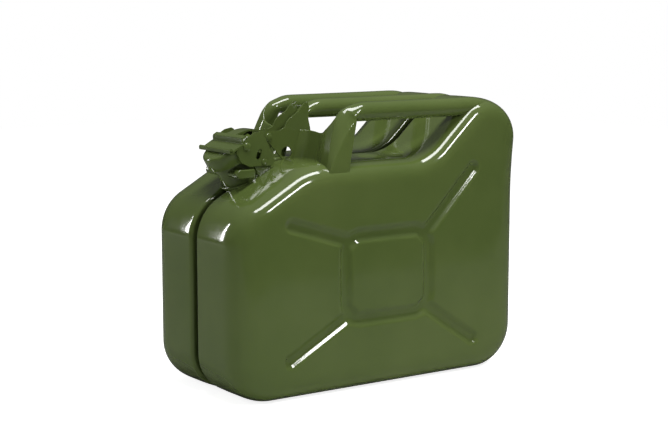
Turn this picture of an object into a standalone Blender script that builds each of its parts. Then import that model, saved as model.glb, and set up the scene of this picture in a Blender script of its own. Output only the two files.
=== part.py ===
"""Ten litre pressed steel fuel can with three carrying handles and a cam lever closure.

Metres, +Z up. X runs along the can with the spout at -X, Y across it, and the origin
is the middle of the footprint on the ground.
"""

import math

import bmesh
import bpy
from mathutils import Matrix, Vector
from mathutils.geometry import delaunay_2d_cdt, tessellate_polygon

# Body, seen from the side.
BODY_LENGTH = 0.345
BODY_WIDTH = 0.165
BODY_TOP = 0.2826
WELL_DEPTH = 0.0556
SHOULDER_DROP = 0.0475
SHOULDER_RUN = 0.084
HUMP_LENGTH = 0.0575
HUMP_SLOPE_RUN = 0.0596
FRONT_BOTTOM_RADIUS = 0.0423
REAR_BOTTOM_RADIUS = 0.0459
REAR_TOP_RADIUS = 0.0439
HUMP_RADIUS = 0.032
WELL_RADIUS = 0.060
RIDGE_RADIUS = 0.070
SHOULDER_RADIUS = 0.0461
REAR_KINK_DROP = 0.0926
SHEET = 0.001

# Rounding between the narrow faces and the flat side panel.
ROUND_ACROSS = 0.0375
PANEL_FROM_FRONT = 0.0475
PANEL_FROM_REAR = 0.0545
PANEL_FROM_EDGE = 0.026
PANEL_RADIUS = 0.014
PANEL_HUMP_RADIUS = 0.008
PANEL_KINK_RADIUS = 0.060
END_POWER = 3.6
EDGE_POWER = 3.05

# Seam between the two half shells.
SEAM_GAP = 0.0006
CHAMFER_START = 0.018
CHAMFER_DEPTH = 0.0004
LIP_HALF = 0.0092
LIP_SHOULDER_HALF = 0.0076
LIP_SHOULDER_DEPTH = 0.0013
GROOVE_TOP_HALF = 0.0064
GROOVE_FLOOR_HALF = 0.0054
GROOVE_ROUND = 0.0034
GROOVE_DEPTH = 0.009
FLANGE_TIP_DEPTH = 0.0035
WELD_HALF = 0.0016
WELD_THICKNESS = 0.001

# Pressed cross on each side panel.
CROSS_DEPTH = 0.003
CROSS_HALF = 0.0076
CROSS_FLOOR_HALF = 0.0030
# Where the square's sides lie, as shares of the flat panel's length and height.
SQUARE_LENGTH_SHARES = (0.3066, 0.7263)
SQUARE_HEIGHT_SHARES = (0.2686, 0.7429)
SQUARE_RADIUS = 0.018
# How far each arm's end stays from the panel's end and from its lower or slanted upper edge.
ARM_FRONT_TOP_INSET = 0.0125
ARM_FRONT_TOP_BELOW = 0.0121
ARM_FRONT_BOTTOM_INSET = 0.011
ARM_FRONT_BOTTOM_ABOVE = 0.015
ARM_REAR_TOP_INSET = 0.010
ARM_REAR_TOP_BELOW = 0.0274
ARM_REAR_BOTTOM_INSET = 0.009
ARM_REAR_BOTTOM_ABOVE = 0.0105

# Fits.
SEAT_GAP = 0.0003
OVERRUN = 0.004
SAME_PLACE = 0.00003

# Handles.
HANDLE_RADIUS = 0.0095
HANDLE_INSET = 0.0165
HANDLE_ABOVE = 0.0014
HANDLE_WALL = 0.0012
OUTER_DIP_FROM_REAR = 0.0595
CENTRE_DIP_FROM_REAR = 0.0485
DIP_RADIUS = 0.055
DIP_TURN = math.radians(38.0)
LEG_BEHIND_RIDGE = 0.0185
LEG_RUN = 0.052
FOOT_HALF_WIDTH = 0.0052
FOOT_SPREAD = 0.0078

# Front sheet between the legs.
APRON_THICKNESS = 0.0014
APRON_BEHIND_RIDGE = 0.0135
APRON_SINK = 0.006
APRON_LEAN = 0.026
APRON_LOW_EDGE = 0.0258
APRON_INNER_RISE = 0.002
APRON_OUTER_RISE = 0.0215

# Centre bracket plates that carry the closure's hinge.
PLATE_THICKNESS = 0.0016
PLATE_AHEAD = 0.0075
PLATE_LENGTH = 0.059
# The pin's height in the plate, as a share of the plate's nominal height.
PLATE_PIN_SHARE = 0.5593
PLATE_HOLE = 0.0062
PLATE_HOLE_BACK = 0.0287
PLATE_HOLE_RISE = 0.0055
FAR_SLOT_REACH = 0.0158
PLATE_SINK = 0.011

# Neck, in the tilted frame of the shoulder: u along the shoulder, w out of it.
NECK_AHEAD = 0.0287
NECK_RADIUS = 0.0205
NECK_WALL = 0.0015
NECK_HEIGHT = 0.031
NECK_LIP = 0.001
NECK_LIP_HEIGHT = 0.0035
NECK_SINK = 0.018
NECK_RING_WIDTH = 0.002
NECK_RING_HEIGHT = 0.0028
BREATHER_RADIUS = 0.004
BREATHER_WALL = 0.001
BREATHER_TOP = 0.027
BREATHER_DEPTH = 0.018
BREATHER_BEHIND_RIDGE = 0.0285
BREATHER_END_DROP = 0.021
BREATHER_BEND = 0.013

# Ears on the neck, in world directions.
EAR_AHEAD = 0.0233
EAR_LENGTH = 0.0205
EAR_RISE = 0.0017
EAR_HEIGHT = 0.0085
EAR_BEYOND = 0.0023
EAR_NOSE = 0.0041

# Catch bracket behind the neck.
CATCH_CLEARANCE = 0.0011
CATCH_THICKNESS = 0.002
CATCH_REAR = 0.0265
CATCH_FRONT = 0.0048
CATCH_CORNER = 0.008
CATCH_HEIGHT = 0.0135
CATCH_SINK = 0.005

# Cap.
CAP_RADIUS = 0.0255
CAP_WALL = 0.0012
CAP_BOTTOM = 0.022
CAP_TOP = 0.0365
CAP_ROUND = 0.003
GASKET_BORE = 0.017
RETAINER_THICKNESS = 0.002
PIVOT_ALONG = 0.0062
PIVOT_OUT = 0.0332
PIVOT_RADIUS = 0.0026
RIVET_HEAD_RADIUS = 0.0042
RIVET_HEAD = 0.0016
HEAD_CROWN_SHARE = 0.7

# Hinge of the closure.
HINGE_ALONG = 0.03945
HINGE_OUT = 0.02161
HINGE_RADIUS = 0.0025
HINGE_HEAD_RADIUS = 0.0042
HINGE_HEAD = 0.0016
EYE_WALL = 0.0026

# Lever.
LEVER_SHEET = 0.0016
CHEEK_CLEARANCE = 0.0006
CHEEK_FRONT = -0.0071
CHEEK_LENGTH = 0.0356
CHEEK_BOTTOM = 0.0017
CHEEK_HEIGHT = 0.0387
TONGUE_BEYOND = 0.0013
TONGUE_FRONT = -0.012
TONGUE_LENGTH = 0.0155
STEP_RISE = 0.0048
STEP_RUN = 0.0025
BRIDGE_LENGTH = 0.0045
HEM_RADIUS = 0.0018
STRAP_HALF = 0.0092
STRAP_CROWN = 0.0055
SLOT_HALF = 0.0024
SLOT_LENGTH = 0.0105
SLOT_ALONG = 0.0142
SLOT_OUT = 0.0197
SLOT_LEAN = math.radians(46.0)
STUD_RADIUS = 0.0025
STUD_HEAD_RADIUS = 0.0033
STUD_HEAD = 0.0008
STUD_ALONG = 0.0156
STUD_OUT = 0.0099

# Counts of facets.
TUBE_SIDES = 20
ROUND_SIDES = 36
SMALL_SIDES = 16

OLIVE = (0.088, 0.127, 0.033, 1.0)
DARK_OLIVE = (0.060, 0.092, 0.022, 1.0)
RUBBER_BLACK = (0.020, 0.020, 0.020, 1.0)
BARE_STEEL = (0.420, 0.420, 0.400, 1.0)


# Places that follow from the sizes.
FRONT = -BODY_LENGTH / 2
REAR = BODY_LENGTH / 2
RIDGE = FRONT + SHOULDER_RUN
WELL_FLOOR = BODY_TOP - WELL_DEPTH
REAR_KINK_HEIGHT = BODY_TOP - REAR_KINK_DROP
HANDLE_SPACING = BODY_WIDTH / 2 - HANDLE_INSET
HANDLE_TOP = BODY_TOP + HANDLE_ABOVE
NECK_PLACE = RIDGE - NECK_AHEAD
CHEEK_INNER = CAP_RADIUS + CHEEK_CLEARANCE
CHEEK_OUTER = CHEEK_INNER + LEVER_SHEET
CATCH_HALF = CHEEK_INNER - CATCH_CLEARANCE


def clear_scene():
    for obj in list(bpy.data.objects):
        bpy.data.objects.remove(obj, do_unlink=True)


def paint(name, colour, roughness, metallic):
    """A plain Principled material."""
    made = bpy.data.materials.new(name)
    made.use_nodes = True
    shader = made.node_tree.nodes["Principled BSDF"]
    shader.inputs["Base Color"].default_value = colour
    shader.inputs["Roughness"].default_value = roughness
    shader.inputs["Metallic"].default_value = metallic
    made.diffuse_color = colour
    return made


def add_object(name, points, faces, colour=OLIVE, roughness=0.22, metallic=0.0):
    """Makes one mesh object with its own material and every face turned outwards."""
    mesh = bpy.data.meshes.new(name)
    mesh.from_pydata([tuple(point) for point in points], [], faces)
    mesh.validate()
    work = bmesh.new()
    work.from_mesh(mesh)
    bmesh.ops.recalc_face_normals(work, faces=work.faces)
    work.to_mesh(mesh)
    work.free()
    mesh.shade_smooth()
    mesh.set_sharp_from_angle(angle=math.radians(32.0))
    mesh.materials.append(paint(name, colour, roughness, metallic))
    obj = bpy.data.objects.new(name, mesh)
    bpy.context.collection.objects.link(obj)
    return obj


def as_cutter(obj):
    obj.hide_render = True
    obj.display_type = "WIRE"
    return obj


def combine(obj, other, operation):
    modifier = obj.modifiers.new(operation.lower() + "_" + other.name, "BOOLEAN")
    modifier.operation = operation
    modifier.solver = "EXACT"
    modifier.object = other


def cut(obj, *cutters):
    for cutter in cutters:
        combine(obj, cutter, "DIFFERENCE")


def join(obj, *others):
    for other in others:
        combine(obj, as_cutter(other), "UNION")


def set_origin(obj, origin):
    """Moves the object's origin without moving its shape."""
    obj.data.transform(Matrix.Translation(-origin))
    obj.location = origin


def hold(child, parent):
    """Parents a piece and leaves it where it is."""
    child.parent = parent
    child.location = child.location - parent.location


def loop_faces(ring_count, ring_size, closed_chain):
    """Quads between neighbouring rings, which lie one after the other in the point list."""
    faces = []
    last = ring_count if closed_chain else ring_count - 1
    for ring in range(last):
        after = (ring + 1) % ring_count
        for i in range(ring_size):
            j = (i + 1) % ring_size
            faces.append(
                (
                    ring * ring_size + i,
                    ring * ring_size + j,
                    after * ring_size + j,
                    after * ring_size + i,
                )
            )
    return faces


def ring_body(name, rings, closed_chain, **looks):
    """A body lofted through rings: a closed chain has a hole, an open one has two caps."""
    size = len(rings[0])
    faces = loop_faces(len(rings), size, closed_chain)
    if not closed_chain:
        faces.append(tuple(range(size)))
        faces.append(tuple(range((len(rings) - 1) * size, len(rings) * size)))
    points = [point for ring in rings for point in ring]
    return add_object(name, points, faces, **looks)


def turned_body(name, profile, sides, place, **looks):
    """Turns a closed profile of (radius, height) round the local Z axis of the place matrix."""
    points = []
    rows = []
    for radius, height in profile:
        if radius == 0:
            rows.append([len(points)] * sides)
            points.append(place @ Vector((0, 0, height)))
            continue
        rows.append(list(range(len(points), len(points) + sides)))
        for i in range(sides):
            turn = math.tau * i / sides
            spot = Vector((radius * math.cos(turn), radius * math.sin(turn), height))
            points.append(place @ spot)
    faces = []
    for row, after in zip(rows, rows[1:] + rows[:1]):
        for i in range(sides):
            j = (i + 1) % sides
            corners = []
            for corner in (row[i], row[j], after[j], after[i]):
                if corner not in corners:
                    corners.append(corner)
            if len(corners) > 2:
                faces.append(tuple(corners))
    return add_object(name, points, faces, **looks)


def plate_body(name, loops, place, low, high, **looks):
    """Extrudes a flat outline with holes. place maps (a, b, depth) to a point."""
    flat = [Vector((a, b, 0)) for loop in loops for a, b in loop]
    sheets = [[Vector((a, b, 0)) for a, b in loop] for loop in loops]
    triangles = tessellate_polygon(sheets)
    count = len(flat)
    points = [place(p.x, p.y, low) for p in flat]
    points += [place(p.x, p.y, high) for p in flat]
    faces = [tuple(t) for t in triangles]
    faces += [tuple(i + count for i in reversed(t)) for t in triangles]
    start = 0
    for loop in loops:
        for i in range(len(loop)):
            a = start + i
            b = start + (i + 1) % len(loop)
            faces.append((a, b, b + count, a + count))
        start += len(loop)
    return add_object(name, points, faces, **looks)


def side_place(a, b, depth):
    """Outline in X and Z, depth along Y."""
    return Vector((a, depth, b))


def thick_line(points, thickness):
    """The outline of a sheet that follows a line of points, with mitred corners."""
    line = [Vector(p) for p in points]
    normals = []
    for i in range(len(line)):
        before = (line[i] - line[max(i - 1, 0)]).normalized()
        after = (line[min(i + 1, len(line) - 1)] - line[i]).normalized()
        along = (before + after).normalized()
        lean = max(along.dot(after if after.length else before), 0.5)
        normals.append(Vector((-along.y, along.x)) / lean)
    half = thickness / 2
    left = [p + n * half for p, n in zip(line, normals)]
    right = [p - n * half for p, n in zip(line, normals)]
    return [tuple(p) for p in left + right[::-1]]


def circle(centre, radius, sides):
    return [
        (
            centre[0] + radius * math.cos(math.tau * i / sides),
            centre[1] + radius * math.sin(math.tau * i / sides),
        )
        for i in range(sides)
    ]


def rounded(corners, steps):
    """Rounds each (x, y, radius) corner of a closed outline with an arc."""
    made = []
    count = len(corners)
    for i, (x, y, radius) in enumerate(corners):
        here = Vector((x, y))
        before = (Vector(corners[i - 1][:2]) - here).normalized()
        after = (Vector(corners[(i + 1) % count][:2]) - here).normalized()
        if radius == 0:
            made.append((x, y))
            continue
        half = before.angle(after) / 2
        reach = radius / math.tan(half)
        centre = here + (before + after).normalized() * radius / math.sin(half)
        start = here + before * reach - centre
        end = here + after * reach - centre
        turn = start.angle_signed(end)
        for step in range(steps + 1):
            spot = centre + rotate(start, -turn * step / steps)
            made.append((spot.x, spot.y))
    return made


def rotate(vector, angle):
    c, s = math.cos(angle), math.sin(angle)
    return Vector((vector.x * c - vector.y * s, vector.x * s + vector.y * c))


def capsule(a, b, half):
    """The outline of a line from a to b, half wide on each side, with round ends."""
    along = (b - a).normalized()
    across = Vector((-along.y, along.x)) * half
    steps = 4
    made = []
    for end, side in ((b, -1), (a, 1)):
        for step in range(steps + 1):
            made.append(end + rotate(across * side, math.pi * step / steps))
    return made


def body_corners():
    """Corners of the body's side outline: (x, z, radius)."""
    hump = REAR - HUMP_LENGTH
    return [
        (FRONT, 0, FRONT_BOTTOM_RADIUS),
        (REAR, 0, REAR_BOTTOM_RADIUS),
        (REAR, REAR_KINK_HEIGHT, 0),
        (REAR, BODY_TOP, REAR_TOP_RADIUS),
        (hump, BODY_TOP, HUMP_RADIUS),
        (hump - HUMP_SLOPE_RUN, WELL_FLOOR, WELL_RADIUS),
        (RIDGE, WELL_FLOOR, RIDGE_RADIUS),
        (FRONT, WELL_FLOOR - SHOULDER_DROP, SHOULDER_RADIUS),
    ]


def panel_corners():
    """Corners of the flat side panel's edge, one for each corner of the outline."""
    hump = REAR - HUMP_LENGTH
    well = hump - HUMP_SLOPE_RUN
    front = FRONT + PANEL_FROM_FRONT
    rear = REAR - PANEL_FROM_REAR
    floor = WELL_FLOOR - PANEL_FROM_EDGE
    top = BODY_TOP - PANEL_FROM_EDGE
    slope = math.atan2(BODY_TOP - WELL_FLOOR, HUMP_SLOPE_RUN)
    slope_shift = PANEL_FROM_EDGE * math.tan(slope / 2)
    shoulder = math.atan2(SHOULDER_DROP, SHOULDER_RUN)
    ridge = RIDGE + PANEL_FROM_EDGE * math.tan(shoulder / 2)
    return [
        (front, PANEL_FROM_EDGE, PANEL_RADIUS),
        (rear, PANEL_FROM_EDGE, PANEL_RADIUS),
        (rear, REAR_KINK_HEIGHT, PANEL_KINK_RADIUS),
        (REAR - PANEL_FROM_EDGE, top, PANEL_HUMP_RADIUS),
        (hump + slope_shift, top, HUMP_RADIUS - PANEL_FROM_EDGE),
        (well + slope_shift, floor, WELL_RADIUS + PANEL_FROM_EDGE),
        (ridge, floor, RIDGE_RADIUS - PANEL_FROM_EDGE),
        (front, floor - (ridge - front) * math.tan(shoulder), PANEL_RADIUS),
    ]


def corner_arc(corners, number, steps):
    """Places round one corner with their outward normals. A corner of no radius stays straight."""
    x, z, radius = corners[number]
    here = Vector((x, z))
    before = (Vector(corners[number - 1][:2]) - here).normalized()
    after = (Vector(corners[(number + 1) % len(corners)][:2]) - here).normalized()
    if radius == 0:
        normal = Vector((after.y, -after.x))
        reach = PANEL_RADIUS
        return [(here + after * reach * (2 * step / steps - 1), normal) for step in range(steps + 1)]
    half_angle = before.angle(after) / 2
    centre = here + (before + after).normalized() * radius / math.sin(half_angle)
    start = here + before * radius / math.tan(half_angle) - centre
    end = here + after * radius / math.tan(half_angle) - centre
    turn = -start.angle_signed(end)
    sign = 1 if before.x * after.y - before.y * after.x < 0 else -1
    arc = []
    for step in range(steps + 1):
        spoke = rotate(start, turn * step / steps)
        arc.append((centre + spoke, spoke.normalized() * sign))
    return arc


def rounded_line(corners):
    """A closed line round the corners: a list of (point, outward normal), anticlockwise from -Y."""
    steps_each = (6, 6, 2, 6, 3, 3, 3, 4)
    pieces_each = (4, 3, 2, 1, 1, 3, 2, 3)
    arcs = [corner_arc(corners, i, steps) for i, steps in enumerate(steps_each)]
    made = []
    for i, arc in enumerate(arcs):
        made += arc
        following = arcs[(i + 1) % len(arcs)][0]
        for step in range(1, pieces_each[i]):
            share = step / pieces_each[i]
            made.append((arc[-1][0].lerp(following[0], share), arc[-1][1]))
    return made


OUTLINE = rounded_line(body_corners())
PANEL_EDGE = [point for point, _ in rounded_line(panel_corners())]


def outline_ring(inset, y):
    """The body's outline drawn in by inset, at one place across the body."""
    return [Vector((p.x - n.x * inset, y, p.y - n.y * inset)) for p, n in OUTLINE]


def groove_chain(thickness):
    """(inset, distance from the middle) down the seam groove, on the sheet's outer or inner face."""
    t = thickness
    return [
        (t, CHAMFER_START),
        (CHAMFER_DEPTH + t, LIP_HALF + t / 2),
        (LIP_SHOULDER_DEPTH + t, LIP_SHOULDER_HALF + t),
        (GROOVE_ROUND + t / 2, GROOVE_TOP_HALF + t),
        (GROOVE_DEPTH + t, GROOVE_FLOOR_HALF + t),
    ]


def side_rings(thickness, side):
    """Rings from the side panel's edge round to the narrow faces, on the sheet's outer or inner face."""
    steps = 7
    start = BODY_WIDTH / 2 - ROUND_ACROSS
    rings = []
    for step in range(steps, -1, -1):
        turn = math.pi / 2 * step / steps
        ring = []
        for (point, normal), edge in zip(OUTLINE, PANEL_EDGE):
            power = EDGE_POWER + (END_POWER - EDGE_POWER) * normal.x**2
            size = (math.cos(turn) ** power + math.sin(turn) ** power) ** (-1 / power)
            wall = point - normal * thickness
            spot = edge.lerp(wall, size * math.cos(turn)) if step < steps else edge
            across = start + (ROUND_ACROSS - thickness) * size * math.sin(turn)
            ring.append(Vector((spot.x, side * across, spot.y)))
        rings.append(ring)
    return rings


def square_corners():
    """The pressed square's four corners, from the lower front one towards the rear."""
    corners = panel_corners()
    low = Vector(corners[0][:2])
    high = Vector((corners[1][0], corners[6][1]))
    front, rear = [low.x + (high.x - low.x) * share for share in SQUARE_LENGTH_SHARES]
    bottom, top = [low.y + (high.y - low.y) * share for share in SQUARE_HEIGHT_SHARES]
    return [(front, bottom), (rear, bottom), (rear, top), (front, top)]


def cross_square():
    """The centre line of the pressed square, in X and Z."""
    corners = [(x, z, SQUARE_RADIUS) for x, z in square_corners()]
    return [Vector(point) for point in rounded(corners, 3)]


def cross_arms():
    """The centre lines of the four arms, each from its corner of the square."""
    inset = SQUARE_RADIUS * (1 - math.sqrt(0.5))
    corners = [Vector(corner[:2]) for corner in panel_corners()]
    front, rear = corners[0].x, corners[1].x

    def below(a, b, x, drop):
        return Vector((x, a.y + (b.y - a.y) * (x - a.x) / (b.x - a.x) - drop))

    ends = [
        Vector((front + ARM_FRONT_BOTTOM_INSET, corners[0].y + ARM_FRONT_BOTTOM_ABOVE)),
        Vector((rear - ARM_REAR_BOTTOM_INSET, corners[1].y + ARM_REAR_BOTTOM_ABOVE)),
        below(corners[5], corners[4], rear - ARM_REAR_TOP_INSET, ARM_REAR_TOP_BELOW),
        below(corners[7], corners[6], front + ARM_FRONT_TOP_INSET, ARM_FRONT_TOP_BELOW),
    ]
    made = []
    for (x, z), end in zip(square_corners(), ends):
        start = Vector((x - math.copysign(inset, end.x - x), z - math.copysign(inset, end.y - z)))
        made.append((start, end))
    return made


def cross_depth(spot):
    """How deep the pressing is at a place on the side panel."""
    square = cross_square()
    lines = list(zip(square, square[1:] + square[:1])) + cross_arms()
    near = CROSS_HALF
    for a, b in lines:
        share = min(max((spot - a).dot(b - a) / (b - a).length_squared, 0), 1)
        near = min(near, (spot - a.lerp(b, share)).length)
    return CROSS_DEPTH * min((CROSS_HALF - near) / (CROSS_HALF - CROSS_FLOOR_HALF), 1)


def offset_loop(loop, distance):
    """A closed loop moved outwards by a distance."""
    made = []
    for i, here in enumerate(loop):
        before = (here - loop[i - 1]).normalized()
        after = (loop[(i + 1) % len(loop)] - here).normalized()
        along = (before + after).normalized()
        made.append(here + Vector((along.y, -along.x)) * distance / along.dot(after))
    return made


def panel(rim):
    """Triangulates the side panel inside the rim. Returns its places and faces."""
    flat = [Vector((p.x, p.z)) for p in rim]
    edges = [(i, (i + 1) % len(flat)) for i in range(len(flat))]

    def add_loop(loop):
        start = len(flat)
        flat.extend(loop)
        edges.extend((start + i, start + (i + 1) % len(loop)) for i in range(len(loop)))

    square = cross_square()
    for half in (CROSS_HALF, CROSS_FLOOR_HALF):
        add_loop(offset_loop(square, half))
        add_loop(offset_loop(square, -half))
        for a, b in cross_arms():
            add_loop(capsule(a, b, half))
    face = [list(range(len(rim)))]
    # With output type 1 only the triangles inside the rim come back.
    made, _, faces, _, _, _ = delaunay_2d_cdt(flat, edges, face, 1, 1e-6)
    return made, faces


def half_shell(name, side):
    """One pressed half of the body, from the side panel to the weld flange."""
    tip = SEAM_GAP / 2
    rings = side_rings(0.0, side)
    outer = groove_chain(0.0)
    outer += [(GROOVE_DEPTH, tip + SHEET), (FLANGE_TIP_DEPTH, tip + SHEET)]
    inner = [(FLANGE_TIP_DEPTH, tip), (GROOVE_DEPTH + SHEET, tip)]
    inner += groove_chain(SHEET)[::-1]
    rings += [outline_ring(inset, side * y) for inset, y in outer + inner]
    rings += side_rings(SHEET, side)[::-1]
    size = len(rings[0])
    points = [point for ring in rings for point in ring]
    faces = loop_faces(len(rings), size, False)
    for number, reach in ((0, BODY_WIDTH / 2), (len(rings) - 1, BODY_WIDTH / 2 - SHEET)):
        rim = rings[number]
        flat, triangles = panel(rim)
        index = []
        for spot in flat:
            found = None
            for i, point in enumerate(rim):
                if abs(point.x - spot.x) + abs(point.z - spot.y) < SAME_PLACE:
                    found = number * size + i
            if found is None:
                found = len(points)
                y = side * (reach - cross_depth(spot))
                points.append(Vector((spot.x, y, spot.y)))
            index.append(found)
        faces += [tuple(index[i] for i in triangle) for triangle in triangles]
    return add_object(name, points, faces)


def tilt_matrix():
    """The frame of the neck: local Z out of the shoulder, local X up along it."""
    slope = math.atan2(SHOULDER_DROP, SHOULDER_RUN)
    height = WELL_FLOOR - NECK_AHEAD * math.tan(slope)
    place = Matrix.Translation(Vector((NECK_PLACE, 0, height)))
    return place @ Matrix.Rotation(-slope, 4, "Y")


TILT = tilt_matrix()


def tilted(u, w):
    """A place in the neck's frame as world (x, z)."""
    spot = TILT @ Vector((u, 0, w))
    return (spot.x, spot.z)


HINGE_X, HINGE_Z = tilted(HINGE_ALONG, HINGE_OUT)


def along_y(x, z):
    """A frame whose local Z runs along -Y, through one place seen from the side."""
    return Matrix.Translation(Vector((x, 0, z))) @ Matrix.Rotation(math.pi / 2, 4, "X")


def envelope(name, grooved):
    """The space that the closed body fills, a seat gap larger, for cutting what rests on it."""
    grow = SEAT_GAP
    chain = []
    if grooved:
        tip = SEAM_GAP / 2 + SHEET + grow
        chain = groove_chain(-grow)
        chain += [(GROOVE_DEPTH - grow, tip), (FLANGE_TIP_DEPTH - WELD_THICKNESS - 2 * grow, tip)]
    rings = side_rings(-grow, -1)
    rings += [outline_ring(inset, -y) for inset, y in chain]
    rings += [outline_ring(inset, y) for inset, y in chain[::-1]]
    rings += side_rings(-grow, 1)[::-1]
    return as_cutter(ring_body(name, rings, False))


def handle_rows(leg_shares, centre_y, spread, dip_start):
    """A handle from its foot to its end in the hump: (front, rear, y, half width) of each ring.

    leg_shares holds, for each ring of the leg, the front's run and rise, the rear's run and
    rise, and how much of the foot's spread and width is left.
    """
    rise = HANDLE_TOP - WELL_FLOOR
    start = RIDGE + LEG_BEHIND_RIDGE
    under = HANDLE_TOP - 2 * HANDLE_RADIUS
    rows = []
    for front_run, front_rise, rear_run, rear_rise, swell in leg_shares:
        front = Vector((start + LEG_RUN * front_run, WELL_FLOOR + rise * front_rise))
        rear = Vector((start + LEG_RUN * rear_run, WELL_FLOOR + rise * rear_rise))
        narrow = (HANDLE_RADIUS - FOOT_HALF_WIDTH) * swell if spread else 0
        rows.append((front, rear, centre_y + spread * swell, HANDLE_RADIUS - narrow))
    straight = 4
    bend_end = start + LEG_RUN
    for step in range(straight + 1):
        x = bend_end + (dip_start - bend_end) * step / straight
        rows.append((Vector((x, HANDLE_TOP)), Vector((x, under)), centre_y, HANDLE_RADIUS))
    dips = 4
    for step in range(1, dips + 1):
        turn = DIP_TURN * step / dips
        axis = Vector((dip_start, HANDLE_TOP - HANDLE_RADIUS - DIP_RADIUS))
        top = axis + rotate(Vector((0, DIP_RADIUS + HANDLE_RADIUS)), -turn)
        low = axis + rotate(Vector((0, DIP_RADIUS - HANDLE_RADIUS)), -turn)
        rows.append((top, low, centre_y, HANDLE_RADIUS))
    return rows


def handle_rings(rows, grow):
    """Oval rings through the front and rear of each row, larger by grow."""
    rings = []
    for front, rear, y, wide_half in rows:
        middle = (front + rear) / 2
        up = (front - rear).normalized()
        long_half = (front - rear).length / 2 + grow
        ring = []
        for k in range(TUBE_SIDES):
            turn = math.tau * k / TUBE_SIDES
            spot = middle + up * long_half * math.cos(turn)
            ring.append(Vector((spot.x, y + (wide_half + grow) * math.sin(turn), spot.y)))
        rings.append(ring)
    return rings


def handle(name, rows):
    """A thin walled handle, open at both ends."""
    outer = handle_rings(rows, 0.0)
    inner = handle_rings(rows, -HANDLE_WALL)
    return ring_body(name, outer + inner[::-1], True)


def outer_rows(side):
    leg_shares = (
        (0.010, -0.246, 0.510, -0.246, 1.00),
        (0.077, 0.000, 0.540, 0.000, 0.95),
        (0.183, 0.325, 0.627, 0.325, 0.55),
        (0.288, 0.579, 0.683, 0.544, 0.25),
        (0.379, 0.742, 0.708, 0.640, 0.10),
        (0.500, 0.868, 0.727, 0.675, 0.00),
        (0.644, 0.930, 0.750, 0.675, 0.00),
        (0.827, 0.979, 0.827, 0.668, 0.00),
    )
    dip = REAR - OUTER_DIP_FROM_REAR
    return handle_rows(leg_shares, side * HANDLE_SPACING, side * FOOT_SPREAD, dip)


def centre_rows():
    """The centre handle ends as a stub between the bracket plates."""
    leg_shares = (
        (0.212, 0.298, 0.442, 0.298, 0.00),
        (0.250, 0.509, 0.452, 0.474, 0.00),
        (0.327, 0.719, 0.481, 0.614, 0.00),
        (0.452, 0.868, 0.529, 0.663, 0.00),
        (0.600, 0.947, 0.640, 0.668, 0.00),
        (0.769, 0.990, 0.769, 0.667, 0.00),
    )
    return handle_rows(leg_shares, 0, 0, REAR - CENTRE_DIP_FROM_REAR)


def apron(name, side, body_cutter, leg_cutter):
    """The pressed front sheet from a centre plate to an outer leg."""
    inner_y = HANDLE_RADIUS + SEAT_GAP + PLATE_THICKNESS + SEAT_GAP
    outer_y = HANDLE_SPACING + FOOT_SPREAD / 4
    low_share = 0.30
    columns = 12
    levels = 6
    bottom = WELL_FLOOR - APRON_SINK
    rings = []
    for column in range(columns + 1):
        share = column / columns
        y = side * (inner_y + (outer_y - inner_y) * share)
        inner = max((low_share - share) / low_share, 0.0) ** 2
        outer = max((share - low_share) / (1 - low_share), 0.0) ** 1.5
        top = WELL_FLOOR + APRON_LOW_EDGE + APRON_INNER_RISE * inner + APRON_OUTER_RISE * outer
        front = []
        back = []
        for level in range(levels + 1):
            up = level / levels
            z = bottom + (top - bottom) * up
            climb = (z - WELL_FLOOR) / APRON_LOW_EDGE
            x = RIDGE + APRON_BEHIND_RIDGE + APRON_LEAN * min(max(climb, 0.0), 1.0)
            front.append(Vector((x, y, z)))
            back.append(Vector((x + APRON_THICKNESS, y, z)))
        rings.append(front + back[::-1])
    body = ring_body(name, rings, False)
    cut(body, body_cutter, leg_cutter)
    return body


def bracket_plate(name, side, slot_reach, body_cutter):
    """One centre bracket plate with its pin hole and its lock hole, slot_reach longer than round."""
    # Shares of the plate's length and height, from its front edge and its base.
    outline_shares = (
        (0.000, 0.653),
        (0.068, 0.671),
        (0.181, 0.656),
        (0.356, 0.664),
        (0.454, 0.702),
        (0.498, 0.795),
        (0.569, 0.863),
        (0.720, 0.953),
        (0.788, 1.034),
        (0.856, 1.102),
        (0.915, 1.119),
        (0.944, 1.034),
        (0.925, 0.848),
        (0.966, 0.678),
        (1.000, 0.186),
        (1.000, 0.000),
        (0.568, 0.000),
        (0.415, 0.164),
        (0.159, 0.446),
        (0.064, 0.525),
        (0.020, 0.593),
    )
    base = WELL_FLOOR - PLATE_SINK
    height = (HINGE_Z - base) / PLATE_PIN_SHARE
    front = HINGE_X - PLATE_AHEAD
    outline = [(front + a * PLATE_LENGTH, base + b * height) for a, b in outline_shares]
    window_place = Vector((front + PLATE_HOLE_BACK, WELL_FLOOR + PLATE_HOLE_RISE))
    if slot_reach:
        window = capsule(window_place, window_place + Vector((slot_reach, 0)), PLATE_HOLE)
    else:
        window = circle(window_place, PLATE_HOLE, SMALL_SIDES)
    pin = circle((HINGE_X, HINGE_Z), HINGE_RADIUS + SEAT_GAP, SMALL_SIDES)
    low = HANDLE_RADIUS + SEAT_GAP
    loops = [outline, window[::-1], pin[::-1]]
    body = plate_body(name, loops, side_place, side * low, side * (low + PLATE_THICKNESS))
    cut(body, body_cutter)
    return body


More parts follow.
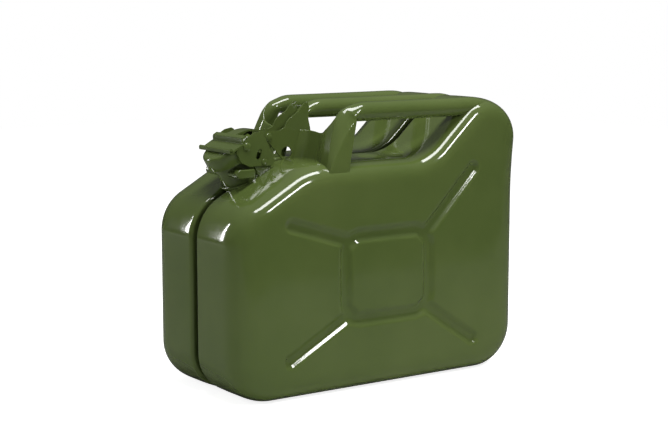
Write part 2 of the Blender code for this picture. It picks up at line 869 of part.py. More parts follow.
def neck(groove_cutter):
    """The filler neck with its rolled lip, seated in the seam groove."""
    bore = NECK_RADIUS - NECK_WALL
    lip = NECK_RADIUS + NECK_LIP
    lip_low = NECK_HEIGHT - NECK_LIP_HEIGHT
    profile = [
        (bore, -NECK_SINK),
        (NECK_RADIUS, -NECK_SINK),
        (NECK_RADIUS, lip_low - NECK_LIP),
        (lip, lip_low),
        (lip, NECK_HEIGHT - NECK_LIP),
        (NECK_RADIUS, NECK_HEIGHT),
        (bore + NECK_LIP / 2, NECK_HEIGHT),
        (bore, NECK_HEIGHT - NECK_LIP / 2),
    ]
    body = turned_body("neck", profile, ROUND_SIDES, TILT)
    cut(body, groove_cutter)
    return body


def neck_ring(body_cutter):
    """The weld ring round the foot of the neck."""
    inner = NECK_RADIUS + SEAT_GAP
    profile = [
        (inner, -NECK_RING_HEIGHT),
        (inner + NECK_RING_WIDTH, -NECK_RING_HEIGHT),
        (inner + NECK_RING_WIDTH, NECK_RING_HEIGHT / 2),
        (inner + NECK_RING_WIDTH / 2, NECK_RING_HEIGHT),
        (inner, NECK_RING_HEIGHT),
    ]
    body = turned_body("neck_ring", profile, ROUND_SIDES, TILT)
    cut(body, body_cutter)
    return body


def breather():
    """The bent air tube inside the neck."""
    u = NECK_RADIUS - NECK_WALL - SEAT_GAP - BREATHER_RADIUS
    top = Vector(tilted(u, BREATHER_TOP))
    corner = Vector(tilted(u, -BREATHER_DEPTH))
    end = Vector((RIDGE + BREATHER_BEHIND_RIDGE, WELL_FLOOR - BREATHER_END_DROP))
    before = (top - corner).normalized()
    after = (end - corner).normalized()
    half = before.angle(after) / 2
    reach = BREATHER_BEND / math.tan(half)
    centre = corner + (before + after).normalized() * BREATHER_BEND / math.sin(half)
    start = corner + before * reach - centre
    turn = -start.angle_signed(corner + after * reach - centre)
    steps = 5
    line = [top] + [centre + rotate(start, turn * i / steps) for i in range(steps + 1)] + [end]

    def rings(radius):
        made = []
        for i, spot in enumerate(line):
            along = line[min(i + 1, len(line) - 1)] - line[max(i - 1, 0)]
            if i in (0, 1):
                along = line[1] - line[0]
            if i in (len(line) - 2, len(line) - 1):
                along = line[-1] - line[-2]
            along.normalize()
            up = Vector((-along.y, 0, along.x))
            ring = []
            for k in range(SMALL_SIDES):
                angle = math.tau * k / SMALL_SIDES
                offset = up * math.cos(angle) + Vector((0, 1, 0)) * math.sin(angle)
                ring.append(Vector((spot.x, 0, spot.y)) + offset * radius)
            made.append(ring)
        return made

    chain = rings(BREATHER_RADIUS) + rings(BREATHER_RADIUS - BREATHER_WALL)[::-1]
    return ring_body("breather_tube", chain, True, colour=DARK_OLIVE, roughness=0.4)


def ear(name, side, neck_cutter):
    """The lug that the lever grips on one side of the neck."""
    foot_x, foot_z = tilted(0, 0)
    front = foot_x - EAR_AHEAD
    rear = front + EAR_LENGTH
    bottom = foot_z + EAR_RISE
    top = bottom + EAR_HEIGHT
    corners = [
        (front, bottom, EAR_NOSE),
        (rear, bottom, EAR_NOSE / 2),
        (rear, top, EAR_NOSE / 2),
        (front, top, EAR_NOSE),
    ]
    outline = rounded(corners, 4)
    inner = NECK_RADIUS / 2
    body = plate_body(name, [outline], side_place, side * inner, side * (CHEEK_OUTER + EAR_BEYOND))
    cut(body, neck_cutter)
    return body


def catch_bracket(body_cutter):
    """The U shaped bracket on the shoulder behind the neck."""
    outer = CATCH_HALF
    inner = CATCH_HALF - CATCH_THICKNESS
    back = CATCH_REAR - CATCH_THICKNESS
    outside = rounded(
        [(CATCH_REAR, -outer, CATCH_CORNER), (CATCH_REAR, outer, CATCH_CORNER)]
        + [(CATCH_FRONT, outer, 0), (CATCH_FRONT, -outer, 0)],
        4,
    )
    inside = rounded(
        [(back, -inner, CATCH_CORNER - CATCH_THICKNESS), (back, inner, CATCH_CORNER - CATCH_THICKNESS)]
        + [(CATCH_FRONT, inner, 0), (CATCH_FRONT, -inner, 0)],
        4,
    )
    # The outer line without its two front corners, then the inner line backwards.
    outline = outside[-1:] + outside[:-2] + outside[-2:-1]
    hollow = inside[-2:-1] + inside[:-2][::-1] + inside[-1:]
    loop = outline + hollow

    def place(a, b, depth):
        return TILT @ Vector((a, b, depth))

    body = plate_body("catch_bracket", [loop], place, -CATCH_SINK, CATCH_HEIGHT)
    cut(body, body_cutter)
    return body


def cap_bodies():
    """The cap with its rubber gasket and the disc that holds the gasket."""
    skirt = CAP_RADIUS - CAP_WALL
    under = CAP_TOP - CAP_WALL
    bevel = CAP_ROUND * (1 - math.sqrt(0.5))
    cap_profile = [
        (0, CAP_TOP),
        (CAP_RADIUS - CAP_ROUND, CAP_TOP),
        (CAP_RADIUS - bevel, CAP_TOP - bevel),
        (CAP_RADIUS, CAP_TOP - CAP_ROUND),
        (CAP_RADIUS, CAP_BOTTOM),
        (skirt, CAP_BOTTOM),
        (skirt, under - CAP_ROUND / 2),
        (skirt - CAP_ROUND / 2, under),
        (0, under),
    ]
    cap = turned_body("cap", cap_profile, ROUND_SIDES, TILT)
    low = NECK_HEIGHT + SEAT_GAP
    high = under - SEAT_GAP
    rim = skirt - CAP_ROUND / 2 - SEAT_GAP
    gasket_profile = [(GASKET_BORE, low), (rim, low), (rim, high), (GASKET_BORE, high)]
    gasket = turned_body(
        "cap_gasket", gasket_profile, ROUND_SIDES, TILT, colour=RUBBER_BLACK, roughness=0.6
    )
    edge = GASKET_BORE - SEAT_GAP
    disc_profile = [
        (0, high - RETAINER_THICKNESS),
        (edge, high - RETAINER_THICKNESS),
        (edge, high),
        (0, high),
    ]
    disc = turned_body(
        "gasket_retainer", disc_profile, ROUND_SIDES, TILT, colour=BARE_STEEL, metallic=1.0
    )
    return cap, gasket, disc


def side_rivet(name, x, z, side, radius, inner, head_radius, head, colour=OLIVE):
    """A headed stub through one cheek of the lever."""
    face = CHEEK_OUTER + SEAT_GAP
    profile = [
        (0, inner),
        (radius, inner),
        (radius, face),
        (head_radius, face),
        (head_radius, face + head / 2),
        (head_radius * HEAD_CROWN_SHARE, face + head),
        (0, face + head),
    ]
    flip = Matrix.Scale(-1, 4, Vector((0, 0, 1)))
    place = along_y(x, z) @ (flip if side > 0 else Matrix.Identity(4))
    return turned_body(name, profile, SMALL_SIDES, place, colour=colour)


def hinge_pin():
    reach = HANDLE_RADIUS + PLATE_THICKNESS + 2 * SEAT_GAP
    ends = reach + HINGE_HEAD
    profile = [
        (0, -ends),
        (HINGE_HEAD_RADIUS, -ends),
        (HINGE_HEAD_RADIUS, -reach),
        (HINGE_RADIUS, -reach),
        (HINGE_RADIUS, reach),
        (HINGE_HEAD_RADIUS, reach),
        (HINGE_HEAD_RADIUS, ends),
        (0, ends),
    ]
    place = along_y(HINGE_X, HINGE_Z)
    return turned_body("hinge_pin", profile, SMALL_SIDES, place, colour=DARK_OLIVE)


def cheek_outline():
    """The lever's side cheek. Shares of its length and height, from its front and bottom."""
    outline_shares = (
        (0.012, 0.860),
        (0.015, 0.553),
        (0.165, 0.353),
        (0.824, 0.000),
        (0.931, 0.057),
        (0.982, 0.491),
        (1.000, 0.870),
        (0.954, 0.935),
        (0.750, 1.000),
        (0.503, 0.995),
        (0.259, 0.948),
    )
    return [
        tilted(CHEEK_FRONT + a * CHEEK_LENGTH, CHEEK_BOTTOM + b * CHEEK_HEIGHT)
        for a, b in outline_shares
    ]


def lever():
    """The stamped lever: two cheeks, tongue, bridge and the strap to the hinge."""
    pivot = tilted(PIVOT_ALONG, PIVOT_OUT)
    stud = stud_place()
    outer = CHEEK_OUTER
    tongue_half = outer + TONGUE_BEYOND
    slot_end = Vector((math.sin(SLOT_LEAN), math.cos(SLOT_LEAN))) * (SLOT_LENGTH / 2 - SLOT_HALF)
    slot_place = Vector((SLOT_ALONG, SLOT_OUT))
    slot = [tilted(*spot) for spot in capsule(slot_place - slot_end, slot_place + slot_end, SLOT_HALF)]
    loops = [
        cheek_outline(),
        slot[::-1],
        circle(pivot, PIVOT_RADIUS + SEAT_GAP, SMALL_SIDES)[::-1],
        circle(stud, STUD_RADIUS + SEAT_GAP, SMALL_SIDES)[::-1],
    ]
    body = plate_body("closure_lever", loops, side_place, -outer, -CHEEK_INNER)
    far = plate_body("tool_far_cheek", loops, side_place, CHEEK_INNER, outer)
    base = CAP_TOP + SEAT_GAP + LEVER_SHEET / 2
    rear = TONGUE_FRONT + TONGUE_LENGTH
    tongue_line = [tilted(TONGUE_FRONT, base), tilted(rear, base)]
    tongue = plate_body(
        "tool_tongue",
        [thick_line(tongue_line, LEVER_SHEET)],
        side_place,
        -tongue_half,
        tongue_half,
    )
    hem = turned_body(
        "tool_hem",
        [(0, -tongue_half), (HEM_RADIUS, -tongue_half), (HEM_RADIUS, tongue_half), (0, tongue_half)],
        SMALL_SIDES,
        along_y(*tilted(TONGUE_FRONT, base + HEM_RADIUS - LEVER_SHEET / 2)),
    )
    middle = (CHEEK_INNER + outer) / 2
    high = base + STEP_RISE
    step_line = [
        tilted(rear - STEP_RUN, base),
        tilted(rear, base),
        tilted(rear + STEP_RUN, high),
        tilted(rear + STEP_RUN + BRIDGE_LENGTH, high),
    ]
    step = plate_body(
        "tool_step", [thick_line(step_line, LEVER_SHEET)], side_place, -middle, middle
    )
    eye_radius = HINGE_RADIUS + SEAT_GAP + EYE_WALL
    start = Vector(tilted(rear + STEP_RUN + BRIDGE_LENGTH / 2, high))
    end = Vector((HINGE_X, HINGE_Z + eye_radius - LEVER_SHEET / 2))
    strap_line = [start]
    steps = 8
    for i in range(1, steps + 1):
        share = i / steps
        spot = start.lerp(end, share)
        spot.y += STRAP_CROWN * math.sin(math.pi * share)
        strap_line.append(spot)
    strap = plate_body(
        "tool_strap", [thick_line(strap_line, LEVER_SHEET)], side_place, -STRAP_HALF, STRAP_HALF
    )
    bore = circle((HINGE_X, HINGE_Z), HINGE_RADIUS + SEAT_GAP, SMALL_SIDES)
    eye = plate_body(
        "tool_eye",
        [circle((HINGE_X, HINGE_Z), eye_radius, SMALL_SIDES), bore[::-1]],
        side_place,
        -STRAP_HALF,
        STRAP_HALF,
    )
    pin_space = turned_body(
        "tool_pin_space",
        [
            (0, -STRAP_HALF - OVERRUN),
            (HINGE_RADIUS + SEAT_GAP, -STRAP_HALF - OVERRUN),
            (HINGE_RADIUS + SEAT_GAP, STRAP_HALF + OVERRUN),
            (0, STRAP_HALF + OVERRUN),
        ],
        SMALL_SIDES,
        along_y(HINGE_X, HINGE_Z),
    )
    join(body, step, far, tongue, hem, strap, eye)
    cut(body, as_cutter(pin_space))
    return body


def stud_place():
    """The latch stud, low on the cheek."""
    return tilted(STUD_ALONG, STUD_OUT)


def build():
    clear_scene()
    body_cutter = envelope("tool_body", False)
    groove_cutter = envelope("tool_body_grooved", True)
    bore = NECK_RADIUS - NECK_WALL
    bore_cutter = as_cutter(
        turned_body(
            "tool_neck_bore",
            [(0, -NECK_SINK - OVERRUN), (bore, -NECK_SINK - OVERRUN), (bore, OVERRUN), (0, OVERRUN)],
            ROUND_SIDES,
            TILT,
        )
    )
    clear = NECK_RADIUS + SEAT_GAP
    neck_cutter = as_cutter(
        turned_body(
            "tool_neck_space",
            [(0, -NECK_SINK), (clear, -NECK_SINK), (clear, NECK_HEIGHT), (0, NECK_HEIGHT)],
            ROUND_SIDES,
            TILT,
        )
    )

    near = half_shell("shell_near", -1)
    far = half_shell("shell_far", 1)
    cut(near, bore_cutter)
    cut(far, bore_cutter)
    weld_low = FLANGE_TIP_DEPTH - SEAT_GAP
    weld_high = weld_low - WELD_THICKNESS
    weld_chain = ((weld_low, -WELD_HALF), (weld_low, WELD_HALF), (weld_high, WELD_HALF / 2))
    weld_chain += ((weld_high, -WELD_HALF / 2),)
    weld = ring_body("seam_weld", [outline_ring(d, y) for d, y in weld_chain], True)
    cut(weld, neck_cutter)

    for name, rows in (
        ("handle_near", outer_rows(-1)),
        ("handle_center", centre_rows()),
        ("handle_far", outer_rows(1)),
    ):
        cut(handle(name, rows), body_cutter)
    for name, side, slot_reach in (("near", -1, 0), ("far", 1, FAR_SLOT_REACH)):
        leg_space = as_cutter(
            ring_body("tool_leg_" + name, handle_rings(outer_rows(side), SEAT_GAP), False)
        )
        apron("handle_apron_" + name, side, body_cutter, leg_space)
        bracket_plate("bracket_plate_" + name, side, slot_reach, body_cutter)
        ear("neck_ear_" + name, side, neck_cutter)

    neck(groove_cutter)
    neck_ring(body_cutter)
    breather()
    catch_bracket(body_cutter)
    hinge_pin()

    hinge = Vector((HINGE_X, 0, HINGE_Z))
    pivot_x, pivot_z = tilted(PIVOT_ALONG, PIVOT_OUT)
    pivot = Vector((pivot_x, 0, pivot_z))
    lever_body = lever()
    for modifier in lever_body.modifiers:
        set_origin(modifier.object, hinge)
    set_origin(lever_body, hinge)
    stud_x, stud_z = stud_place()
    stud_inner = CATCH_HALF + SEAT_GAP
    skirt_side = math.sqrt(CAP_RADIUS**2 - (PIVOT_ALONG - PIVOT_RADIUS) ** 2) + SEAT_GAP
    cap, gasket, disc = cap_bodies()
    for piece in (cap, gasket, disc):
        set_origin(piece, pivot)
    for name, side in (("near", -1), ("far", 1)):
        stud = side_rivet(
            "latch_stud_" + name,
            stud_x,
            stud_z,
            side,
            STUD_RADIUS,
            stud_inner,
            STUD_HEAD_RADIUS,
            STUD_HEAD,
        )
        set_origin(stud, hinge)
        hold(stud, lever_body)
        rivet = side_rivet(
            "cap_pivot_" + name,
            pivot_x,
            pivot_z,
            side,
            PIVOT_RADIUS,
            skirt_side,
            RIVET_HEAD_RADIUS,
            RIVET_HEAD,
        )
        set_origin(rivet, pivot)
        hold(rivet, cap)
    hold(gasket, cap)
    hold(disc, cap)
    hold(cap, lever_body)


build()
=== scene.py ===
"""Looks of a pressed steel fuel can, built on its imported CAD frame."""

import logging
import math
from dataclasses import dataclass, field
from enum import Enum
from typing import Callable, Iterable, Sequence

import bmesh
import bpy
from mathutils import Matrix, Vector
from mathutils.geometry import delaunay_2d_cdt, tessellate_polygon


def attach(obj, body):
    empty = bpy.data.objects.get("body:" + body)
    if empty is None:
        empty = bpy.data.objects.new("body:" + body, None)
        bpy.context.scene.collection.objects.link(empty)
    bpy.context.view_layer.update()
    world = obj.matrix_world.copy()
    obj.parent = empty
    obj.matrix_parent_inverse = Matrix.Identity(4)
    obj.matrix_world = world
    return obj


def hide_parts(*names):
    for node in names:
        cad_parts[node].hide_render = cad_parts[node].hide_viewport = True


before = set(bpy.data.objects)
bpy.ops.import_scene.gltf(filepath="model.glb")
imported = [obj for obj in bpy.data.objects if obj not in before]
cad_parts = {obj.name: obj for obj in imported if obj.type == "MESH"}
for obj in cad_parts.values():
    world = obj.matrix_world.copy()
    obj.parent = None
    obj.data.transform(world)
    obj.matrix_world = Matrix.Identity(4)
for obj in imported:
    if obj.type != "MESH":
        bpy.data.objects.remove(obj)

logging.basicConfig(level=logging.INFO, format="%(message)s")
log = logging.getLogger("fuel_can")

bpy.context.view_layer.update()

Socket = bpy.types.NodeSocket
Thing = bpy.types.Object
Pair = tuple[float, float]
Triple = tuple[float, float, float]
Colour = tuple[float, float, float, float]

DOUBLED = 1e-7
RUNNING_GAP = 0.0003
ROUND = 2.0
ROW_PITCH = 0.866
UNIT = (0.0, 1.0)


class Body(Enum):
    """The moving bodies of the frame."""

    CAN = "can"
    CLOSURE = "closure"
    CAP = "cap"


class Slot(Enum):
    """The record's material slots."""

    PAINT = "olive_paint"
    RUBBER = "seal_rubber"
    PLATED = "plated_steel"


class Side(Enum):
    """The two halves of the can, across the seam."""

    NEAR = -1
    FAR = 1

    @property
    def word(self) -> str:
        """The side as it stands in piece names."""
        return self.name.lower()


class Nodes:
    """A node tree with short ways to add and link nodes."""

    def __init__(self, tree: bpy.types.NodeTree) -> None:
        """Takes a tree over and empties it."""
        self.tree = tree
        tree.nodes.clear()

    def add(self, kind: str, inputs: dict[str | int, object] | None = None, **values: object) -> bpy.types.Node:
        """Adds a node.

        Args:
            kind: the node's type name.
            inputs: a socket or a value for each input, by name or number.
            values: node properties by name.

        Returns:
            The new node.
        """
        node = self.tree.nodes.new(kind)
        for key, value in values.items():
            setattr(node, key, value)
        for key, value in (inputs or {}).items():
            if isinstance(value, Socket):
                self.tree.links.new(value, node.inputs[key])
            else:
                node.inputs[key].default_value = value
        return node

    def maths(self, operation: str, *terms: Socket | float) -> Socket:
        """The result of an operation on sockets and numbers."""
        return self.add("ShaderNodeMath", dict(enumerate(terms)), operation=operation).outputs[0]

    def noise(self, place: Socket, scale: float, detail: float = 2.0) -> Socket:
        """A noise texture, by its waves per metre and its octaves."""
        return self.add("ShaderNodeTexNoise", {"Vector": place, "Scale": scale, "Detail": detail}).outputs["Fac"]

    def spread(self, value: Socket, source: Pair, target: Pair) -> Socket:
        """Maps a value from one range to another."""
        ranges = {"From Min": source[0], "From Max": source[1], "To Min": target[0], "To Max": target[1]}
        return self.add("ShaderNodeMapRange", {"Value": value, **ranges}).outputs["Result"]

    def mix(self, factor: Socket, low: Socket | Colour, high: Socket | Colour, blend: str = "MIX") -> Socket:
        """Mixes two colours."""
        node = self.add("ShaderNodeMix", {"Factor": factor, "A": low, "B": high}, data_type="RGBA", blend_type=blend)
        return node.outputs["Result"]

    def bump(self, height: Socket, strength: float, distance: float) -> Socket:
        """The normal of a surface with this relief."""
        inputs = {"Height": height, "Strength": strength, "Distance": distance}
        return self.add("ShaderNodeBump", inputs).outputs["Normal"]

    def either(self, path: bpy.types.Node) -> Socket:
        """Whether a ray comes from the camera or through something clear."""
        return self.maths("MAXIMUM", path.outputs["Is Camera Ray"], path.outputs["Is Transmission Ray"])

    def surface(self, kind: str, inputs: dict[str | int, object], out: str = "ShaderNodeOutputMaterial") -> None:
        """Ends the tree in a shader with these inputs."""
        self.add(out, {"Surface": self.add(kind, inputs).outputs[0]})


def new_material(name: str) -> tuple[bpy.types.Material, Nodes]:
    """Makes an empty node material.

    Args:
        name: the material's name.

    Returns:
        The material and its tree.
    """
    material = bpy.data.materials.new(name)
    material.use_nodes = True
    return material, Nodes(material.node_tree)


def grey(level: float) -> Colour:
    """A grey of this brightness."""
    return (level, level, level, 1.0)


@dataclass(frozen=True)
class Enamel:
    """Sprayed and baked olive enamel: deep gloss, a fine orange peel, faint cloudiness and dust; with crevice set, it
    also carries painted shade down in the seam groove.
    """

    name: str = "olive_enamel"
    colour: Colour = (0.094, 0.130, 0.034, 1.0)
    shade: Colour = (0.078, 0.113, 0.027, 1.0)
    dust: Colour = (0.05, 0.06, 0.04, 1.0)
    # painted shade: the near-black colour the seam groove is painted in, standing in for its shadow
    groove_shade_colour: Colour = (0.006, 0.008, 0.003, 1.0)
    gloss: float = 0.10
    refraction: float = 1.47
    coat: float = 0.35
    coat_gloss: float = 0.06
    coat_refraction: float = 1.5
    cloud_scale: float = 9.0
    dust_scale: float = 900.0
    haze_scale: float = 60.0
    peel_scale: float = 380.0
    wave_scale: float = 55.0
    wave_share: float = 2.5
    peel_strength: float = 0.55
    peel_height: float = 0.00004
    crevice: float = 0.0
    crevice_fade: Pair = (-0.0008, 0.0004)

    def make(self) -> bpy.types.Material:
        """Builds the material.

        Returns:
            The finished material.
        """
        material, tree = new_material(self.name)
        place = tree.add("ShaderNodeTexCoord").outputs["Object"]
        cloud = tree.spread(tree.noise(place, self.cloud_scale, 3.0), (0.35, 0.65), UNIT)
        specks = tree.spread(tree.noise(place, self.dust_scale, 1.0), (0.76, 0.80), (0.0, 0.35))
        colour = tree.mix(specks, tree.mix(cloud, self.shade, self.colour), self.dust, "ADD")
        haze = tree.noise(place, self.haze_scale, 4.0)
        peel = tree.noise(place, self.peel_scale, 1.5)
        relief = tree.maths("MULTIPLY_ADD", tree.noise(place, self.wave_scale, 1.0), self.wave_share, peel)
        normal = tree.bump(relief, self.peel_strength, self.peel_height)
        inputs = {
            "Base Color": colour,
            "Roughness": tree.spread(haze, (0.3, 0.7), (self.gloss * 0.8, self.gloss * 1.25)),
            "IOR": self.refraction,
            "Coat Weight": self.coat,
            "Coat Roughness": self.coat_gloss,
            "Coat IOR": self.coat_refraction,
            "Normal": normal,
            "Coat Normal": normal,
        }
        if self.crevice:
            inputs |= self.painted_groove_shade(tree, place, colour)
        tree.surface("ShaderNodeBsdfPrincipled", inputs)
        return material

    def painted_groove_shade(self, tree: Nodes, place: Socket, colour: Socket) -> dict[str, Socket]:
        """Paints shade down in the seam groove: a near-black colour, less shine and no coat.

        Args:
            tree: the material's tree.
            place: object coordinates.
            colour: the paint's colour.

        Returns:
            The shader's inputs that change there.
        """
        # painted shade: where |y| falls below crevice the paint fades to near black and loses most of its shine and its
        # coat
        across = tree.maths("ABSOLUTE", tree.add("ShaderNodeSeparateXYZ", {0: place}).outputs["Y"])
        inner, outer = self.crevice_fade
        keep = tree.spread(across, (self.crevice + inner, self.crevice + outer), UNIT)
        return {
            "Base Color": tree.mix(keep, self.groove_shade_colour, colour),
            "Specular IOR Level": tree.spread(keep, UNIT, (0.08, 0.5)),
            "Coat Weight": tree.spread(keep, UNIT, (0.0, self.coat)),
        }


@dataclass(frozen=True)
class SealRubber:
    """Moulded fuel resistant rubber: matt black with a soft grain."""

    name: str = "seal_rubber"
    dark: Colour = (0.012, 0.012, 0.012, 1.0)
    bloom: Colour = (0.035, 0.034, 0.032, 1.0)
    bloom_scale: float = 120.0
    grain_scale: float = 1400.0
    grain_strength: float = 0.4
    grain_height: float = 0.0001

    def make(self) -> bpy.types.Material:
        """Builds the material.

        Returns:
            The finished material.
        """
        material, tree = new_material(self.name)
        place = tree.add("ShaderNodeTexCoord").outputs["Object"]
        grain = tree.noise(place, self.grain_scale, 3.0)
        inputs = {
            "Base Color": tree.mix(tree.noise(place, self.bloom_scale, 3.0), self.dark, self.bloom),
            "Roughness": tree.spread(grain, (0.3, 0.7), (0.5, 0.72)),
            "Normal": tree.bump(grain, self.grain_strength, self.grain_height),
        }
        tree.surface("ShaderNodeBsdfPrincipled", inputs)
        return material


@dataclass(frozen=True)
class PlatedSteel:
    """Dull zinc plated steel with a fine grain and darker blotches."""

    name: str = "plated_steel"
    dark: Colour = (0.33, 0.33, 0.31, 1.0)
    pale: Colour = (0.52, 0.52, 0.49, 1.0)
    blotch_scale: float = 140.0
    grain_scale: float = 2200.0
    grain_strength: float = 0.25
    grain_height: float = 0.00005

    def make(self) -> bpy.types.Material:
        """Builds the material.

        Returns:
            The finished material.
        """
        material, tree = new_material(self.name)
        place = tree.add("ShaderNodeTexCoord").outputs["Object"]
        blotch = tree.noise(place, self.blotch_scale, 4.0)
        inputs = {
            "Metallic": 1.0,
            "Base Color": tree.mix(blotch, self.dark, self.pale),
            "Roughness": tree.spread(blotch, (0.3, 0.7), (0.42, 0.28)),
            "Normal": tree.bump(tree.noise(place, self.grain_scale), self.grain_strength, self.grain_height),
        }
        tree.surface("ShaderNodeBsdfPrincipled", inputs)
        return material


@dataclass
class Paintbox:
    """Every finish of the can, made once."""

    enamel: bpy.types.Material = field(default_factory=lambda: Enamel().make())
    # the shell enamel paints shade into the seam groove
    shell: bpy.types.Material = field(default_factory=lambda: Enamel(name="shell_enamel", crevice=0.0062).make())
    rubber: bpy.types.Material = field(default_factory=lambda: SealRubber().make())
    plated: bpy.types.Material = field(default_factory=lambda: PlatedSteel().make())


def plan_rotate(vector: Vector, angle: float) -> Vector:
    """Turns a flat vector by an angle."""
    c, s = math.cos(angle), math.sin(angle)
    return Vector((vector.x * c - vector.y * s, vector.x * s + vector.y * c))


def arc(middle: Sequence[float], size: Pair, start: float, end: float, steps: int) -> list[Pair]:
    """Places along an oval arc.

    Args:
        middle: its centre.
        size: its half width and half height.
        start: where it starts, in degrees.
        end: where it ends, in degrees.
        steps: its pieces.

    Returns:
        The places, both ends included.
    """
    turns = [math.radians(start + (end - start) * i / steps) for i in range(steps + 1)]
    return [(middle[0] + size[0] * math.cos(t), middle[1] + size[1] * math.sin(t)) for t in turns]


def circle(middle: Sequence[float], radius: float, steps: int) -> list[Vector]:
    """Places round a circle."""
    turns = [math.tau * i / steps for i in range(steps)]
    return [Vector(middle) + Vector((math.cos(t), math.sin(t))) * radius for t in turns]


def dome(radius: float, base: float, height: float, rim: float, steps: int) -> list[Pair]:
    """The profile of a domed head, from its rim to the axis.

    Args:
        radius: of the head.
        base: where it stands.
        height: of the whole head.
        rim: the rim's share of the height.
        steps: pieces of the dome.

    Returns:
        (radius, height) pairs.
    """
    curve = arc((0, base + height * rim), (radius, height * (1 - rim)), 0, 90, steps)
    return curve[1:-1] + [(0, base + height)]


def corner_arc(corners: Sequence[Triple], number: int, steps: int, reach: float = 0.0) -> list[tuple[Vector, Vector]]:
    """Places round one corner of a closed line with their outward normals.

    Args:
        corners: (x, z, radius) of every corner, anticlockwise from the near side.
        number: which corner.
        steps: pieces of the arc.
        reach: half the length that a corner of no radius spreads over.

    Returns:
        (place, normal) pairs along the arc.
    """
    x, z, radius = corners[number]
    here = Vector((x, z))
    before = (Vector(corners[number - 1][:2]) - here).normalized()
    after = (Vector(corners[(number + 1) % len(corners)][:2]) - here).normalized()
    if radius == 0:
        normal = Vector((after.y, -after.x))
        places = [here + after * reach * (2 * i / steps - 1) for i in range(steps + 1)] if reach else [here]
        return [(place, normal) for place in places]
    half = before.angle(after) / 2
    centre = here + (before + after).normalized() * radius / math.sin(half)
    start = here + before * radius / math.tan(half) - centre
    end = here + after * radius / math.tan(half) - centre
    turn = -start.angle_signed(end)
    sign = 1 if before.x * after.y - before.y * after.x < 0 else -1
    spokes = [plan_rotate(start, turn * i / steps) for i in range(steps + 1)]
    return [(centre + spoke, spoke.normalized() * sign) for spoke in spokes]


def rounded_outline(corners: Sequence[Triple], steps: int) -> list[Vector]:
    """The places round an outline whose corners, given as (a, b, radius), are rounded."""
    return [place for i in range(len(corners)) for place, _ in corner_arc(corners, i, steps)]


def add_object(name: str, data: bpy.types.ID) -> Thing:
    """Puts a new object into the scene.

    Args:
        name: the object's name.
        data: its mesh, camera or light.

    Returns:
        The object.
    """
    obj = bpy.data.objects.new(name, data)
    bpy.context.scene.collection.objects.link(obj)
    return obj


def clean(mesh: bpy.types.Mesh, flat: float = 0.0) -> None:
    """Joins doubled points and turns faces outwards, or else merges faces that lie flat.

    Args:
        mesh: the mesh.
        flat: when given, only faces that meet under this angle in degrees are merged.
    """
    work = bmesh.new()
    work.from_mesh(mesh)
    if flat:
        bmesh.ops.dissolve_limit(work, angle_limit=math.radians(flat), verts=work.verts, edges=work.edges)
    else:
        bmesh.ops.remove_doubles(work, verts=work.verts, dist=DOUBLED)
        bmesh.ops.recalc_face_normals(work, faces=work.faces)
    work.to_mesh(mesh)
    work.free()


def mesh_from(
    name: str,
    points: Iterable[Vector],
    faces: Iterable[Sequence[int]],
    material: bpy.types.Material,
    sharp: float = 40.0,
) -> Thing:
    """Makes a closed mesh object with its faces turned outwards.

    Args:
        name: the object's name.
        points: the places of its vertices.
        faces: rows of vertex numbers.
        material: its finish.
        sharp: edges over this angle, in degrees, stay crisp.

    Returns:
        The new object, linked to the scene.
    """
    mesh = bpy.data.meshes.new(name)
    mesh.from_pydata([tuple(p) for p in points], [], [tuple(f) for f in faces])
    clean(mesh)
    mesh.materials.append(material)
    mesh.shade_smooth()
    mesh.set_sharp_from_angle(angle=math.radians(sharp))
    return add_object(name, mesh)


def settle(obj: Thing) -> Thing:
    """Applies an object's modifiers.

    Args:
        obj: the object.

    Returns:
        The same object with a plain mesh.
    """
    graph = bpy.context.evaluated_depsgraph_get()
    mesh = bpy.data.meshes.new_from_object(obj.evaluated_get(graph))
    old = obj.data
    obj.modifiers.clear()
    obj.data = mesh
    mesh.name = obj.name
    bpy.data.meshes.remove(old)
    return obj


def soften(obj: Thing, width: float, segments: int = 3, angle: float = 30.0) -> Thing:
    """Rounds an object's crisp edges, as paint and pressing do.

    Args:
        obj: the object.
        width: the size of the rounding.
        segments: pieces across it.
        angle: edges over this angle in degrees are rounded.

    Returns:
        The same object, settled.
    """
    bevel = obj.modifiers.new("round", "BEVEL")
    bevel.width = width
    bevel.segments = segments
    bevel.limit_method = "ANGLE"
    bevel.angle_limit = math.radians(angle)
    obj.modifiers.new("even", "WEIGHTED_NORMAL")
    settle(obj)
    obj.data.shade_smooth()
    return obj


def combine(obj: Thing, operation: str, *tools: Thing) -> Thing:
    """Cuts closed shapes out of an object or joins them to it, and removes them.

    Args:
        obj: the object.
        operation: DIFFERENCE or UNION.
        tools: the closed shapes.

    Returns:
        The same object, settled.
    """
    for tool in tools:
        step = obj.modifiers.new("combine", "BOOLEAN")
        step.operation = operation
        step.solver = "EXACT"
        step.object = tool
    settle(obj)
    for tool in tools:
        bpy.data.objects.remove(tool)
    return obj


def ring_faces(rings: int, size: int, capped: bool) -> list[Sequence[int]]:
    """Quads between neighbouring rings.

    Args:
        rings: how many rings there are.
        size: how many points each has.
        capped: whether the first and last ring are closed with a face.

    Returns:
        The faces.
    """
    faces: list[Sequence[int]] = []
    for low in range(0, (rings - 1) * size, size):
        for i in range(size):
            j = (i + 1) % size
            faces.append((low + i, low + j, low + size + j, low + size + i))
    if capped:
        faces += [tuple(range(size)), tuple(range((rings - 1) * size, rings * size))]
    return faces


